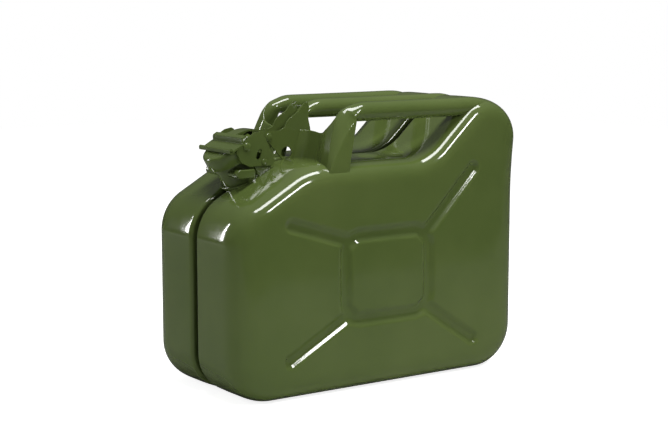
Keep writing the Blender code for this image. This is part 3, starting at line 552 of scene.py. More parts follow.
def lathe(name: str, profile: Sequence[Pair], place: Matrix, material: bpy.types.Material, sides: int = 96) -> Thing:
    """Turns a closed profile round an axis.

    Args:
        name: the object's name.
        profile: (radius, height) corners; the first and last may lie on the axis.
        place: the frame whose local Z is the axis.
        material: its finish.
        sides: pieces round the axis.

    Returns:
        The turned object.
    """
    points: list[Vector] = []
    rows: list[list[int]] = []
    for radius, height in profile:
        first = len(points)
        if radius == 0:
            rows.append([first] * sides)
            points.append(place @ Vector((0, 0, height)))
        else:
            rows.append(list(range(first, first + sides)))
            ring = arc((0, 0), (radius, radius), 0, 360, sides)[:-1]
            points += [place @ Vector((x, y, height)) for x, y in ring]
    faces = []
    for row, after in zip(rows, rows[1:] + rows[:1]):
        for i in range(sides):
            j = (i + 1) % sides
            corners = list(dict.fromkeys((row[i], row[j], after[j], after[i])))
            if len(corners) > 2:
                faces.append(corners)
    return mesh_from(name, points, faces, material)


def rod(radius: float, low: float, high: float, place: Matrix, material: bpy.types.Material, sides: int = 96) -> Thing:
    """A plain rod, to cut a bore with."""
    return lathe("rod", [(0, low), (radius, low), (radius, high), (0, high)], place, material, sides)


def upright(a: float, b: float, depth: float) -> Vector:
    """The place of (a, b) on a sheet that stands along the can."""
    return Vector((a, depth, b))


def slab(
    name: str,
    loops: Sequence[Sequence[Vector]],
    low: float,
    high: float,
    material: bpy.types.Material,
    place: Callable[[float, float, float], Vector] = upright,
) -> Thing:
    """Gives a flat outline with holes a thickness.

    Args:
        name: the object's name.
        loops: the outline, then its holes.
        low: depth of one face.
        high: depth of the other face.
        material: its finish.
        place: maps (a, b, depth) to a place.

    Returns:
        The plate.
    """
    flat = [p for loop in loops for p in loop]
    triangles = tessellate_polygon([[Vector((p.x, p.y, 0)) for p in loop] for loop in loops])
    count = len(flat)
    points = [place(p.x, p.y, depth) for depth in (low, high) for p in flat]
    faces = [tuple(t) for t in triangles] + [tuple(i + count for i in reversed(t)) for t in triangles]
    start = 0
    for loop in loops:
        for i in range(len(loop)):
            a, b = start + i, start + (i + 1) % len(loop)
            faces.append((a, b, b + count, a + count))
        start += len(loop)
    obj = mesh_from(name, points, faces, material)
    clean(obj.data, 1.0)
    return obj


def finish_piece(obj: Thing, node: str, body: Body = Body.CAN) -> Thing:
    """Hands a finished piece over to the frame and reports it.

    Args:
        obj: the piece.
        node: the CAD node it stands for.
        body: the body it rides on.

    Returns:
        The same piece.
    """
    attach(obj, body.value)
    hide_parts(node)
    log.info("%s: %d faces, rides on %s", obj.name, len(obj.data.polygons), body.value)
    return obj


@dataclass
class PressedBody:
    """The can's two half shells: outline, side rounding, seam groove and pressed cross."""

    paints: Paintbox
    length: float = 0.345
    width: float = 0.165
    top: float = 0.2826
    well: float = 0.227
    shoulder_drop: float = 0.0475
    shoulder_run: float = 0.084
    hump_length: float = 0.0575
    hump_run: float = 0.0596
    kink_height: float = 0.190
    kink_reach: float = 0.014
    radii: tuple[float, ...] = (0.0423, 0.0459, 0, 0.0439, 0.032, 0.060, 0.070, 0.0461)
    panel_radii: tuple[float, ...] = (0.014, 0.014, 0.060, 0.008, 0.006, 0.086, 0.044, 0.014)
    arc_steps: tuple[int, ...] = (26, 26, 8, 26, 14, 14, 14, 18)
    line_steps: tuple[int, ...] = (14, 12, 4, 3, 6, 12, 8, 10)
    sheet: float = 0.001
    across: float = 0.0375
    from_front: float = 0.0475
    from_rear: float = 0.0545
    from_edge: float = 0.026
    end_power: float = 3.6
    front_power: float = 3.5
    edge_power: float = 3.05
    side_steps: int = 22
    inner_side_steps: int = 8
    crown: tuple[Pair, ...] = ((0.0, 0.030), (0.00005, 0.024), (0.0002, 0.018))
    near_lip: Pair = (0.0016, 0.0048)
    far_lip: Pair = (0.0042, 0.0060)
    lip_inset: float = 0.0005
    lip_turn: float = 86.0
    lip_steps: int = 8
    inner_lip: Pair = (0.0006, 0.0018)
    groove_wall: tuple[Pair, ...] = ((0.0056, -0.0001), (0.0075, -0.0004), (0.0085, -0.0009))
    groove_depth: float = 0.009
    groove_floor: float = 0.0034
    flange_tip: float = 0.0062
    seam_gap: float = 0.0006
    square_x: Pair = (-0.0505, 0.0515)
    square_z: Pair = (0.073, 0.156)
    square_radius: float = 0.018
    cross_depth: float = 0.0033
    cross_half: float = 0.0079
    cross_floor: float = 0.0030
    cross_margin: float = 0.003
    arm_blend: float = 0.004
    edge_blend: float = 0.26
    grid: float = 0.0010
    inner_grid: float = 0.005
    outline: list[tuple[Vector, Vector]] = field(init=False)
    panel_edge: list[Vector] = field(init=False)

    def __post_init__(self) -> None:
        """Works out the outline and the panel's edge."""
        half = self.length / 2
        hump = half - self.hump_length
        well = hump - self.hump_run
        ridge = self.shoulder_run - half
        body = [
            (-half, 0),
            (half, 0),
            (half, self.kink_height),
            (half, self.top),
            (hump, self.top),
            (well, self.well),
            (ridge, self.well),
            (-half, self.well - self.shoulder_drop),
        ]
        front, rear = self.from_front - half, half - self.from_rear
        floor, top = self.well - self.from_edge, self.top - self.from_edge
        slope = math.atan2(self.top - self.well, self.hump_run)
        shift = self.from_edge * math.tan(slope / 2)
        lean = math.atan2(self.shoulder_drop, self.shoulder_run)
        inner_ridge = ridge + self.from_edge * math.tan(lean / 2)
        panel = [
            (front, self.from_edge),
            (rear, self.from_edge),
            (rear, self.kink_height),
            (half - self.from_edge, top),
            (hump + shift, top),
            (well + shift, floor),
            (inner_ridge, floor),
            (front, floor - (inner_ridge - front) * math.tan(lean)),
        ]
        self.outline = self._rounded([(*p, r) for p, r in zip(body, self.radii)])
        self.panel_edge = [p for p, _ in self._rounded([(*p, r) for p, r in zip(panel, self.panel_radii)])]

    def _rounded(self, corners: Sequence[Triple]) -> list[tuple[Vector, Vector]]:
        """A fine closed line round eight corners.

        Args:
            corners: (x, z, radius) of each corner.

        Returns:
            (place, outward normal) pairs, the same number for every line.
        """
        arcs = [corner_arc(corners, i, steps, self.kink_reach) for i, steps in enumerate(self.arc_steps)]
        made: list[tuple[Vector, Vector]] = []
        for curve, following, pieces in zip(arcs, arcs[1:] + arcs[:1], self.line_steps):
            made += curve
            place, normal = curve[-1]
            made += [(place.lerp(following[0][0], step / pieces), normal) for step in range(1, pieces)]
        return made

    def ring(self, inset: float, y: float) -> list[Vector]:
        """The outline drawn in by inset, at one place across the can."""
        return [Vector((p.x - n.x * inset, y, p.y - n.y * inset)) for p, n in self.outline]

    def side_rings(self, wall: float, side: Side, steps: int) -> list[list[Vector]]:
        """Rings from the side panel's edge round to the narrow faces.

        Args:
            wall: how far inside the outer face.
            side: which half.
            steps: rings across the rounding.

        Returns:
            The rings.
        """
        start = self.width / 2 - self.across
        rings = []
        for step in range(steps, -1, -1):
            turn = math.pi / 2 * step / steps
            c, s = max(math.cos(turn), 0.0), math.sin(turn)
            ring = []
            for (point, normal), edge in zip(self.outline, self.panel_edge):
                end = self.front_power if normal.x < 0 else self.end_power
                power = self.edge_power + (end - self.edge_power) * normal.x**2
                size = (c**power + s**power) ** (-1 / power)
                spot = edge.lerp(point - normal * wall, size * c) if step < steps else edge
                ring.append(Vector((spot.x, side.value * (start + (self.across - wall) * size * s), spot.y)))
            rings.append(ring)
        return rings

    def groove(self, wall: float, fine: bool, side: Side) -> list[Pair]:
        """The profile from the narrow face down into the seam groove.

        Args:
            wall: how far inside the outer face.
            fine: whether the lip's rounding is drawn closely.
            side: which half; the near lip is crisper.

        Returns:
            (inset, distance from the middle) pairs.
        """
        radius, edge = self.near_lip if side is Side.NEAR else self.far_lip
        start, bend = self.inner_lip
        profile = [*self.crown, (0.0004, edge + radius + 0.0016)]
        if fine:
            middle = Vector((self.lip_inset + radius, edge + radius))
            profile += arc(middle, (-radius, -radius), 0, self.lip_turn, self.lip_steps)
        else:
            profile += [(start, edge + radius * 0.8), (bend, edge + radius * 0.35)]
        profile += [(inset, edge + shift) for inset, shift in self.groove_wall]
        profile.append((self.groove_depth, self.groove_floor))
        return [(inset + wall, y + wall * min(1.0, inset / bend)) for inset, y in profile]

    def skeleton(self) -> tuple[list[tuple[Vector, Vector]], list[tuple[Vector, Vector]]]:
        """The cross's centre lines.

        Returns:
            The pieces of the square's line, and the four arms.
        """
        (x0, x1), (z0, z1), radius = self.square_x, self.square_z, self.square_radius
        square = rounded_outline([(x0, z0, radius), (x1, z0, radius), (x1, z1, radius), (x0, z1, radius)], 10)
        inset = radius * (1 - math.sqrt(0.5))
        arms = []
        for x, z, run, rise in (
            (x0, z0, -0.0635, -0.032),
            (x1, z0, 0.0575, -0.0365),
            (x1, z1, 0.0565, 0.057),
            (x0, z1, -0.062, 0.0155),
        ):
            start = Vector((x - math.copysign(inset, run), z - math.copysign(inset, rise)))
            arms.append((start, Vector((x + run, z + rise))))
        return list(zip(square, square[1:] + square[:1])), arms

    def pressing(self, spots: Sequence[Vector]) -> list[float]:
        """How deep the cross is pressed at each place of the panel.

        Args:
            spots: places as (x, z).

        Returns:
            Depths in metres.
        """
        square, arms = self.skeleton()

        def along(spot: Vector, lines: Sequence[tuple[Vector, Vector]]) -> float:
            near = 1.0
            for a, b in lines:
                d = b - a
                share = min(max((spot - a).dot(d) / d.length_squared, 0), 1)
                near = min(near, (spot - a - d * share).length)
            return near

        def soft_min(a: float, b: float, k: float) -> float:
            h = max(k - abs(a - b), 0.0) / k
            return min(a, b) - h * h * k / 4

        depths = []
        for spot in spots:
            near = soft_min(along(spot, square), along(spot, arms), self.arm_blend)
            share = (self.cross_half - near) / (self.cross_half - self.cross_floor)
            share = soft_min(-soft_min(-share, 0.0, self.edge_blend), 1.0, self.edge_blend)
            depths.append(self.cross_depth * max(share, 0.0) if near < self.cross_half + self.cross_margin else 0.0)
        return depths

    def panel(self, rim: Sequence[Vector], grid: float) -> tuple[list[Vector], list[Sequence[int]]]:
        """Fills the panel's edge with an even net.

        Args:
            rim: the edge as places in space.
            grid: the net's pitch.

        Returns:
            Places as (x, z), the rim first, and triangles.
        """
        flat = [Vector((p.x, p.z)) for p in rim]
        count = len(flat)
        edges = [(i, (i + 1) % count) for i in range(count)]
        low, high = min(p.y for p in flat), max(p.y for p in flat)
        rows = int((high - low) / (grid * ROW_PITCH))
        for row in range(1, rows):
            z = low + (high - low) * row / rows
            crossings = []
            for i, j in edges:
                a, b = flat[i], flat[j]
                if (a.y > z) != (b.y > z):
                    crossings.append(a.x + (b.x - a.x) * (z - a.y) / (b.y - a.y))
            crossings.sort()
            stagger = 0.25 if row % 2 else 0.0
            for start, end in zip(crossings[::2], crossings[1::2]):
                pieces = max(int((end - start) / grid), 2)
                for i in range(1, pieces):
                    flat.append(Vector((start + (end - start) * (i + stagger) / (pieces + stagger), z)))
        made, _, faces, _, _, _ = delaunay_2d_cdt(flat, edges, [list(range(count))], 1, 1e-6)
        return made, faces

    def half(self, side: Side, bore: Thing) -> Thing:
        """Builds one half shell.

        Args:
            side: which half.
            bore: the neck's bore, cut through the shoulder.

        Returns:
            The finished half.
        """
        s = side.value
        tip = self.seam_gap / 2
        outer = self.groove(0.0, True, side)
        outer += [(self.groove_depth, tip + self.sheet), (self.flange_tip, tip + self.sheet)]
        inner = [(self.flange_tip, tip), (self.groove_depth + self.sheet, tip)]
        inner += self.groove(self.sheet, False, side)[::-1]
        rings = self.side_rings(0.0, side, self.side_steps)
        rings += [self.ring(inset, s * y) for inset, y in outer + inner]
        rings += self.side_rings(self.sheet, side, self.inner_side_steps)[::-1]
        size = len(rings[0])
        points = [p for ring in rings for p in ring]
        faces = ring_faces(len(rings), size, False)
        for number, wall, grid in ((0, 0.0, self.grid), (len(rings) - 1, self.sheet, self.inner_grid)):
            flat, triangles = self.panel(rings[number], grid)
            start = len(points)
            depths = self.pressing(flat[size:])
            points += [Vector((p.x, s * (self.width / 2 - wall - d), p.y)) for p, d in zip(flat[size:], depths)]
            for triangle in triangles:
                faces.append([number * size + i if i < size else start + i - size for i in triangle])
        obj = mesh_from(f"half_{side.word}", points, faces, self.paints.shell, 60.0)
        combine(obj, "DIFFERENCE", bore)
        obj.data.shade_smooth()
        return finish_piece(obj, f"shell_{side.word}")


@dataclass
class TiltedFrame:
    """The neck's own frame: local Z out of the shoulder, local X up along it."""

    place_x: float = -0.1172

    def matrix(self, body: PressedBody) -> Matrix:
        """Works out the frame from the shoulder.

        Args:
            body: the can's body.

        Returns:
            The matrix from the neck's frame to the can's.
        """
        slope = math.atan2(body.shoulder_drop, body.shoulder_run)
        ridge = body.shoulder_run - body.length / 2
        height = body.well + (self.place_x - ridge) * math.tan(slope)
        return Matrix.Translation(Vector((self.place_x, 0, height))) @ Matrix.Rotation(-slope, 4, "Y")


@dataclass
class Station:
    """One point of a swept line: its place, its two directions and half sizes, and its squareness."""

    centre: Vector
    up: Vector
    side: Vector
    high: float
    wide: float
    power: float = ROUND
    crease: float = 0.0
    slant: float = 0.0
    along: float = 0.0


@dataclass(frozen=True)
class TubeRule:
    """A Geometry Nodes rule that sweeps an oval along a line whose points carry the oval's size."""

    name: str = "oval_tube"
    vectors: tuple[str, ...] = ("centre", "up", "side")
    numbers: tuple[str, ...] = ("high", "wide", "power", "crease", "slant", "along")
    rear_crease: float = 0.35
    rough_scale: float = 160.0

    def group(self) -> bpy.types.NodeTree:
        """Builds the node group.

        Returns:
            The group, with the inputs Line, Sides, Ripple Pitch, Ripple Height and Finish.
        """
        group = bpy.data.node_groups.new(self.name, "GeometryNodeTree")
        for label, kind, value in (
            ("Line", "Geometry", None),
            ("Sides", "Int", 64),
            ("Ripple Pitch", "Float", 0.004),
            ("Ripple Height", "Float", 0.0),
            ("Finish", "Material", None),
        ):
            socket = group.interface.new_socket(label, in_out="INPUT", socket_type=f"NodeSocket{kind}")
            if value is not None:
                socket.default_value = value
        group.interface.new_socket("Tube", in_out="OUTPUT", socket_type="NodeSocketGeometry")
        tree = Nodes(group)
        given = tree.add("NodeGroupInput").outputs

        def stored(name: str) -> Socket:
            kind = "FLOAT_VECTOR" if name in self.vectors else "FLOAT"
            return tree.add("GeometryNodeInputNamedAttribute", {"Name": name}, data_type=kind).outputs["Attribute"]

        def moved(place: Socket, direction: str, distance: Socket) -> Socket:
            scaled = tree.add("ShaderNodeVectorMath", {0: stored(direction), "Scale": distance}, operation="SCALE")
            return tree.add("ShaderNodeVectorMath", {0: place, 1: scaled.outputs[0]}, operation="ADD").outputs[0]

        line = tree.add("GeometryNodeMeshToCurve", {"Mesh": given["Line"]}).outputs["Curve"]
        round_profile = {"Resolution": given["Sides"], "Radius": 0.001}
        ring = tree.add("GeometryNodeCurvePrimitiveCircle", round_profile, mode="RADIUS")
        index = tree.add("GeometryNodeInputIndex").outputs[0]
        turn = tree.maths("MULTIPLY", tree.maths("DIVIDE", index, given["Sides"]), math.tau)
        marks = {"Geometry": ring.outputs["Curve"], "Name": "turn", "Value": turn}
        ring = tree.add("GeometryNodeStoreNamedAttribute", marks, data_type="FLOAT", domain="POINT").outputs["Geometry"]
        swept = {"Curve": line, "Profile Curve": ring, "Fill Caps": True}
        mesh = tree.add("GeometryNodeCurveToMesh", swept).outputs["Mesh"]

        angle = stored("turn")
        cosine, sine = tree.maths("COSINE", angle), tree.maths("SINE", angle)
        outside = tree.maths("GREATER_THAN", sine, 0.0)
        front = tree.maths("MULTIPLY", tree.maths("GREATER_THAN", cosine, 0.0), outside)
        rear = tree.maths("MULTIPLY", tree.maths("LESS_THAN", cosine, 0.0), outside)
        crease = tree.maths("MULTIPLY", tree.maths("MULTIPLY_ADD", rear, self.rear_crease, front), stored("crease"))
        power = tree.maths("DIVIDE", ROUND, tree.maths("ADD", stored("power"), crease))

        def lobed(wave: Socket) -> Socket:
            size = tree.maths("POWER", tree.maths("ABSOLUTE", wave), power)
            return tree.maths("MULTIPLY", tree.maths("SIGN", wave), size)

        pitch = tree.maths("DIVIDE", tree.maths("MULTIPLY", stored("along"), math.tau), given["Ripple Pitch"])
        rough = tree.maths("MULTIPLY_ADD", tree.noise(stored("centre"), self.rough_scale), 3.0, -1.5)
        rough = tree.maths("ADD", tree.maths("MULTIPLY", tree.maths("SINE", pitch), 0.5), rough)
        ripple = tree.maths("MULTIPLY", rough, given["Ripple Height"])
        across = lobed(sine)
        slope = tree.maths("MULTIPLY", stored("slant"), tree.maths("MAXIMUM", across, 0.0))
        ahead = tree.maths("MULTIPLY", tree.maths("ADD", lobed(cosine), 1.0), tree.maths("SUBTRACT", 1.0, slope))
        ahead = tree.maths("SUBTRACT", ahead, 1.0)
        high = tree.maths("MULTIPLY", tree.maths("ADD", stored("high"), ripple), ahead)
        wide = tree.maths("MULTIPLY", tree.maths("ADD", stored("wide"), ripple), across)
        place = moved(moved(stored("centre"), "up", high), "side", wide)
        for kind, inputs in (
            ("GeometryNodeSetPosition", {"Position": place}),
            ("GeometryNodeSetShadeSmooth", {}),
            ("GeometryNodeRealizeInstances", {}),
            ("GeometryNodeSetMaterial", {"Material": given["Finish"]}),
        ):
            mesh = tree.add(kind, {"Geometry": mesh, **inputs}).outputs["Geometry"]
        tree.add("NodeGroupOutput", {"Tube": mesh})
        return group

    def sweep(
        self, name: str, stations: Sequence[Station], closed: bool, finish: bpy.types.Material, **inputs: float
    ) -> Thing:
        """Runs the rule over a line of stations.

        Args:
            name: the tube's name.
            stations: the line's points with their ovals.
            closed: whether the line joins up.
            finish: the tube's material.
            inputs: values for the rule's inputs, by name with _ for a space.

        Returns:
            The tube as a plain mesh.
        """
        mesh = bpy.data.meshes.new(name)
        edges = [(i, i + 1) for i in range(len(stations) - 1)]
        if closed:
            edges.append((len(stations) - 1, 0))
        mesh.from_pydata([tuple(s.centre) for s in stations], edges, [])
        for key in self.vectors:
            layer = mesh.attributes.new(key, "FLOAT_VECTOR", "POINT")
            layer.data.foreach_set("vector", [c for s in stations for c in getattr(s, key)])
        for key in self.numbers:
            layer = mesh.attributes.new(key, "FLOAT", "POINT")
            layer.data.foreach_set("value", [getattr(s, key) for s in stations])
        obj = add_object(name, mesh)
        rule = obj.modifiers.new("rule", "NODES")
        rule.node_group = bpy.data.node_groups.get(self.name) or self.group()
        wanted = {key.replace("_", " "): value for key, value in inputs.items()} | {"Finish": finish}
        for item in rule.node_group.interface.items_tree:
            if item.in_out == "INPUT" and item.name in wanted:
                rule[item.identifier] = wanted[item.name]
        settle(obj)
        clean(obj.data)
        for key in (*self.vectors, *self.numbers, "turn"):
            if key in obj.data.attributes:
                obj.data.attributes.remove(obj.data.attributes[key])
        return obj


def curve_through(rows: Sequence[Sequence[float]], pieces: int) -> list[list[float]]:
    """Passes a smooth curve through rows of numbers.

    Args:
        rows: the rows to pass through.
        pieces: steps between neighbouring rows.

    Returns:
        The finer rows.
    """
    made = []
    for i in range(len(rows) - 1):
        a, b, c, d = rows[max(i - 1, 0)], rows[i], rows[i + 1], rows[min(i + 2, len(rows) - 1)]
        for step in range(pieces):
            t = step / pieces
            row = []
            for p, q, r, s in zip(a, b, c, d):
                row.append(q + 0.5 * t * (r - p + t * (2 * p - 5 * q + 4 * r - s + t * (3 * (q - r) + s - p))))
            made.append(row)
    made.append(list(rows[-1]))
    return made


@dataclass
class Handles:
    """The three pressed steel carrying handles.

    Each row of a leg holds shares of the run and rise of its front and its rear, the foot's share, the crease and
    the slant.
    """

    paints: Paintbox
    rule: TubeRule
    body: PressedBody
    radius: float = 0.0095
    top: float = 0.2839
    spacing: float = 0.066
    spread: float = 0.0078
    foot_half: float = 0.0052
    foot_squareness: float = 1.6
    leg_start: float = -0.070
    leg_run: float = 0.052
    outer_dip: float = 0.113
    centre_dip: float = 0.124
    dip_radius: float = 0.055
    dip_turn: float = math.radians(40.0)
    sides: int = 72
    grip_steps: int = 6
    dip_steps: int = 4
    outer_leg: tuple[tuple[float, ...], ...] = (
        (0.010, -0.246, 0.510, -0.246, 1.00, 18.0, 0.00),
        (0.077, 0.000, 0.540, 0.000, 0.95, 18.0, 0.10),
        (0.183, 0.325, 0.627, 0.325, 0.55, 18.0, 0.36),
        (0.288, 0.579, 0.683, 0.544, 0.25, 18.0, 0.62),
        (0.379, 0.742, 0.708, 0.640, 0.10, 14.0, 0.80),
        (0.500, 0.868, 0.727, 0.675, 0.00, 4.0, 0.72),
        (0.644, 0.930, 0.750, 0.675, 0.00, 0.0, 0.30),
        (0.827, 0.979, 0.827, 0.668, 0.00, 0.0, 0.00),
    )
    centre_leg: tuple[tuple[float, ...], ...] = (
        (0.212, 0.298, 0.442, 0.298, 0.00, 0.0, 0.0),
        (0.250, 0.509, 0.452, 0.474, 0.00, 0.0, 0.0),
        (0.327, 0.719, 0.481, 0.614, 0.00, 0.0, 0.0),
        (0.452, 0.868, 0.529, 0.663, 0.00, 0.0, 0.0),
        (0.600, 0.947, 0.640, 0.668, 0.00, 0.0, 0.0),
        (0.769, 0.990, 0.769, 0.667, 0.00, 0.0, 0.0),
    )

    def stations(self, leg: Sequence[Sequence[float]], centre_y: float, spread: float, dip: float) -> list[Station]:
        """Works out a handle's line.

        Args:
            leg: the rows of its leg.
            centre_y: where the grip runs.
            spread: how far the foot stands out.
            dip: where the rear end turns down.

        Returns:
            The stations from the foot to the hump.
        """
        low, rise = self.top - 2 * self.radius, self.top - self.body.well
        plain = (centre_y, self.radius, ROUND, 0.0, 0.0)
        rows = []
        for *shares, swell, crease, slant in leg:
            front_x, rear_x = (self.leg_start + self.leg_run * share for share in shares[::2])
            front_z, rear_z = (self.body.well + rise * share for share in shares[1::2])
            wide = self.radius - (self.radius - self.foot_half) * swell
            power = ROUND + self.foot_squareness * swell
            rows.append((front_x, front_z, rear_x, rear_z, centre_y + spread * swell, wide, power, crease, slant))
        end = self.leg_start + self.leg_run
        for step in range(self.grip_steps + 1):
            x = end + (dip - end) * step / self.grip_steps
            rows.append((x, self.top, x, low, *plain))
        axis = Vector((dip, self.top - self.radius - self.dip_radius))
        for step in range(1, self.dip_steps + 1):
            turn = -self.dip_turn * step / self.dip_steps
            outside = axis + plan_rotate(Vector((0, self.dip_radius + self.radius)), turn)
            inside = axis + plan_rotate(Vector((0, self.dip_radius - self.radius)), turn)
            rows.append((*outside, *inside, *plain))
        made = []
        outward = Vector((0, -1.0 if centre_y < 0 else 1.0, 0))
        for fx, fz, rx, rz, y, wide, power, crease, slant in curve_through(rows, 6):
            front, rear = Vector((fx, fz)), Vector((rx, rz))
            middle, across = (front + rear) / 2, front - rear
            up, centre = Vector((across.x, 0, across.y)).normalized(), Vector((middle.x, y, middle.y))
            made.append(Station(centre, up, outward, across.length / 2, wide, power, max(crease, 0.0), max(slant, 0.0)))
        return made

    def build(self) -> None:
        """Builds the three handles."""
        lines = {s.word: (self.outer_leg, s.value * self.spacing, s.value * self.spread, self.outer_dip) for s in Side}
        lines["center"] = (self.centre_leg, 0.0, 0.0, self.centre_dip)
        for word, line in lines.items():
            tube = self.rule.sweep(f"grip_{word}", self.stations(*line), False, self.paints.enamel, Sides=self.sides)
            finish_piece(tube, f"handle_{word}")


@dataclass
class FrontSheets:
    """The pressed sheets between the legs and the two bracket plates that carry the closure.

    leg_front holds (rise, x, y) along a leg's front, top_edge (share, rise) along an apron's top, and plate_shape
    (run, rise, rounding) round a plate.
    """

    paints: Paintbox
    body: PressedBody
    hinge: Vector
    thickness: float = 0.0014
    base_x: float = -0.056
    lean: float = 0.0075
    low_edge: float = 0.0258
    inner_y: float = 0.0117
    reach_y: float = 0.0595
    blend: float = 0.009
    embed: float = -0.0002
    foot: float = -0.0016
    foot_drop: float = 0.0065
    foot_start: float = 0.052
    foot_run: float = 0.019
    columns: int = 64
    levels: int = 30
    leg_front: tuple[Triple, ...] = (
        (-0.0140, -0.0700, 0.0738),
        (0.0000, -0.0660, 0.0734),
        (0.0185, -0.0605, 0.0703),
        (0.0330, -0.0550, 0.0680),
        (0.0423, -0.0503, 0.0668),
        (0.0495, -0.0440, 0.0660),
        (0.0600, -0.0340, 0.0660),
    )
    top_edge: tuple[Pair, ...] = (
        (0.000, 0.0276), (0.245, 0.0266), (0.410, 0.0258), (0.595, 0.0276), (0.705, 0.0300),
        (0.797, 0.0328), (0.890, 0.0380), (0.945, 0.0430), (1.000, 0.0490),
    )
    plate_shape: tuple[Triple, ...] = (
        (0.000, 0.653, 0.3), (0.068, 0.671, 0.5), (0.181, 0.656, 1.2), (0.356, 0.664, 1.5), (0.454, 0.702, 1.2),
        (0.498, 0.795, 0.9), (0.569, 0.863, 0.9), (0.720, 0.953, 1.2), (0.788, 1.034, 0.9), (0.856, 1.102, 0.8),
        (0.915, 1.119, 0.5), (0.944, 1.034, 0.6), (0.925, 0.848, 1.2), (0.966, 0.678, 1.2), (1.000, 0.186, 1.5),
        (1.000, 0.000, 0.0), (0.440, 0.000, 0.0), (0.415, 0.164, 0.5), (0.159, 0.446, 0.6), (0.064, 0.525, 0.6),
        (0.020, 0.593, 0.4),
    )
    plate_round: float = 0.0025
    plate_base: float = -0.011
    hinge_share: float = 0.5593
    plate_low: float = 0.0098
    plate_thickness: float = 0.0016
    plate_length: float = 0.059
    plate_ahead: float = 0.0075
    plate_sink: float = 0.0025
    hole: float = 0.0062
    hole_place: Pair = (0.0287, 0.0055)
    far_hole_run: float = 0.0158
    pin_hole: float = 0.0028

    def apron(self, side: Side) -> Thing:
        """Builds the sheet that runs from one bracket plate into the front of one outer leg.

        Args:
            side: which side of the can.

        Returns:
            The finished sheet.
        """
        half = self.thickness / 2
        legs, tops = curve_through(self.leg_front, 6), curve_through(self.top_edge, 6)

        def look(rows: Sequence[Sequence[float]], at: float) -> list[float]:
            for low, high in zip(rows, rows[1:]):
                if at <= high[0]:
                    share = min(max((at - low[0]) / (high[0] - low[0]), 0.0), 1.0)
                    return [p + (q - p) * share for p, q in zip(low, high)]
            return list(rows[-1])

        def spot(share: float, rise: float, depth: float) -> Vector:
            _, leg_x, leg_y = look(legs, rise)
            y = self.inner_y + (leg_y - self.inner_y) * share
            climb = min(rise / self.low_edge, 1.6)
            plate_x = self.base_x + self.lean * (climb - 0.35 * max(climb - 0.75, 0.0) ** 2)
            mix = min(max((share - 0.38) / 0.47, 0.0), 1.0)
            mix = mix * mix * (3 - 2 * mix)
            near = max(self.blend - (y - self.inner_y), 0.0)
            plate_x -= self.blend - math.sqrt(self.blend**2 - near**2)
            x = plate_x + (leg_x + self.embed - plate_x) * mix
            return Vector((x + half + depth, side.value * y, self.body.well + rise))

        rings = []
        for column in range(self.columns + 1):
            share = column / self.columns
            top = look(tops, share)[1] - half
            outward = self.inner_y + self.reach_y * share - self.foot_start
            low = self.foot - self.foot_drop * max(outward / self.foot_run, 0.0) ** 2
            rises = [low + (top - low) * i / self.levels for i in range(self.levels + 1)]
            hem = arc((0.0, top), (-half, half), 0, 180, 6)[1:-1]
            line = [(-half, rise) for rise in rises] + hem + [(half, rise) for rise in rises[::-1]]
            rings.append([spot(share, rise, depth) for depth, rise in line])
        faces = ring_faces(len(rings), len(rings[0]), True)
        obj = mesh_from(f"apron_{side.word}", [p for r in rings for p in r], faces, self.paints.enamel, 55.0)
        return finish_piece(obj, f"handle_apron_{side.word}")

    def plate(self, side: Side) -> Thing:
        """Builds one bracket plate.

        Args:
            side: which side of the can.

        Returns:
            The finished plate.
        """
        base = self.body.well + self.plate_base
        height = (self.hinge.z - base) / self.hinge_share
        front = self.hinge.x - self.plate_ahead
        foot = self.body.well - self.plate_sink
        spots = [
            (front + a * self.plate_length, max(base + b * height, foot), radius * self.plate_round)
            for a, b, radius in self.plate_shape
        ]
        middle = Vector((front + self.hole_place[0], self.body.well + self.hole_place[1]))
        window = circle(middle, self.hole, 56)
        if side is Side.FAR:
            window = [p + Vector((self.far_hole_run, 0)) if p.x > middle.x else p for p in window]
        pin = circle((self.hinge.x, self.hinge.z), self.pin_hole, 32)
        low, high = (side.value * y for y in (self.plate_low, self.plate_low + self.plate_thickness))
        loops = [rounded_outline(spots, 5), window[::-1], pin[::-1]]
        obj = slab(f"bracket_{side.word}", loops, low, high, self.paints.enamel)
        soften(obj, 0.0005)
        return finish_piece(obj, f"bracket_plate_{side.word}")

    def build(self) -> None:
        """Builds both aprons and both plates."""
        for side in Side:
            self.apron(side)
            self.plate(side)


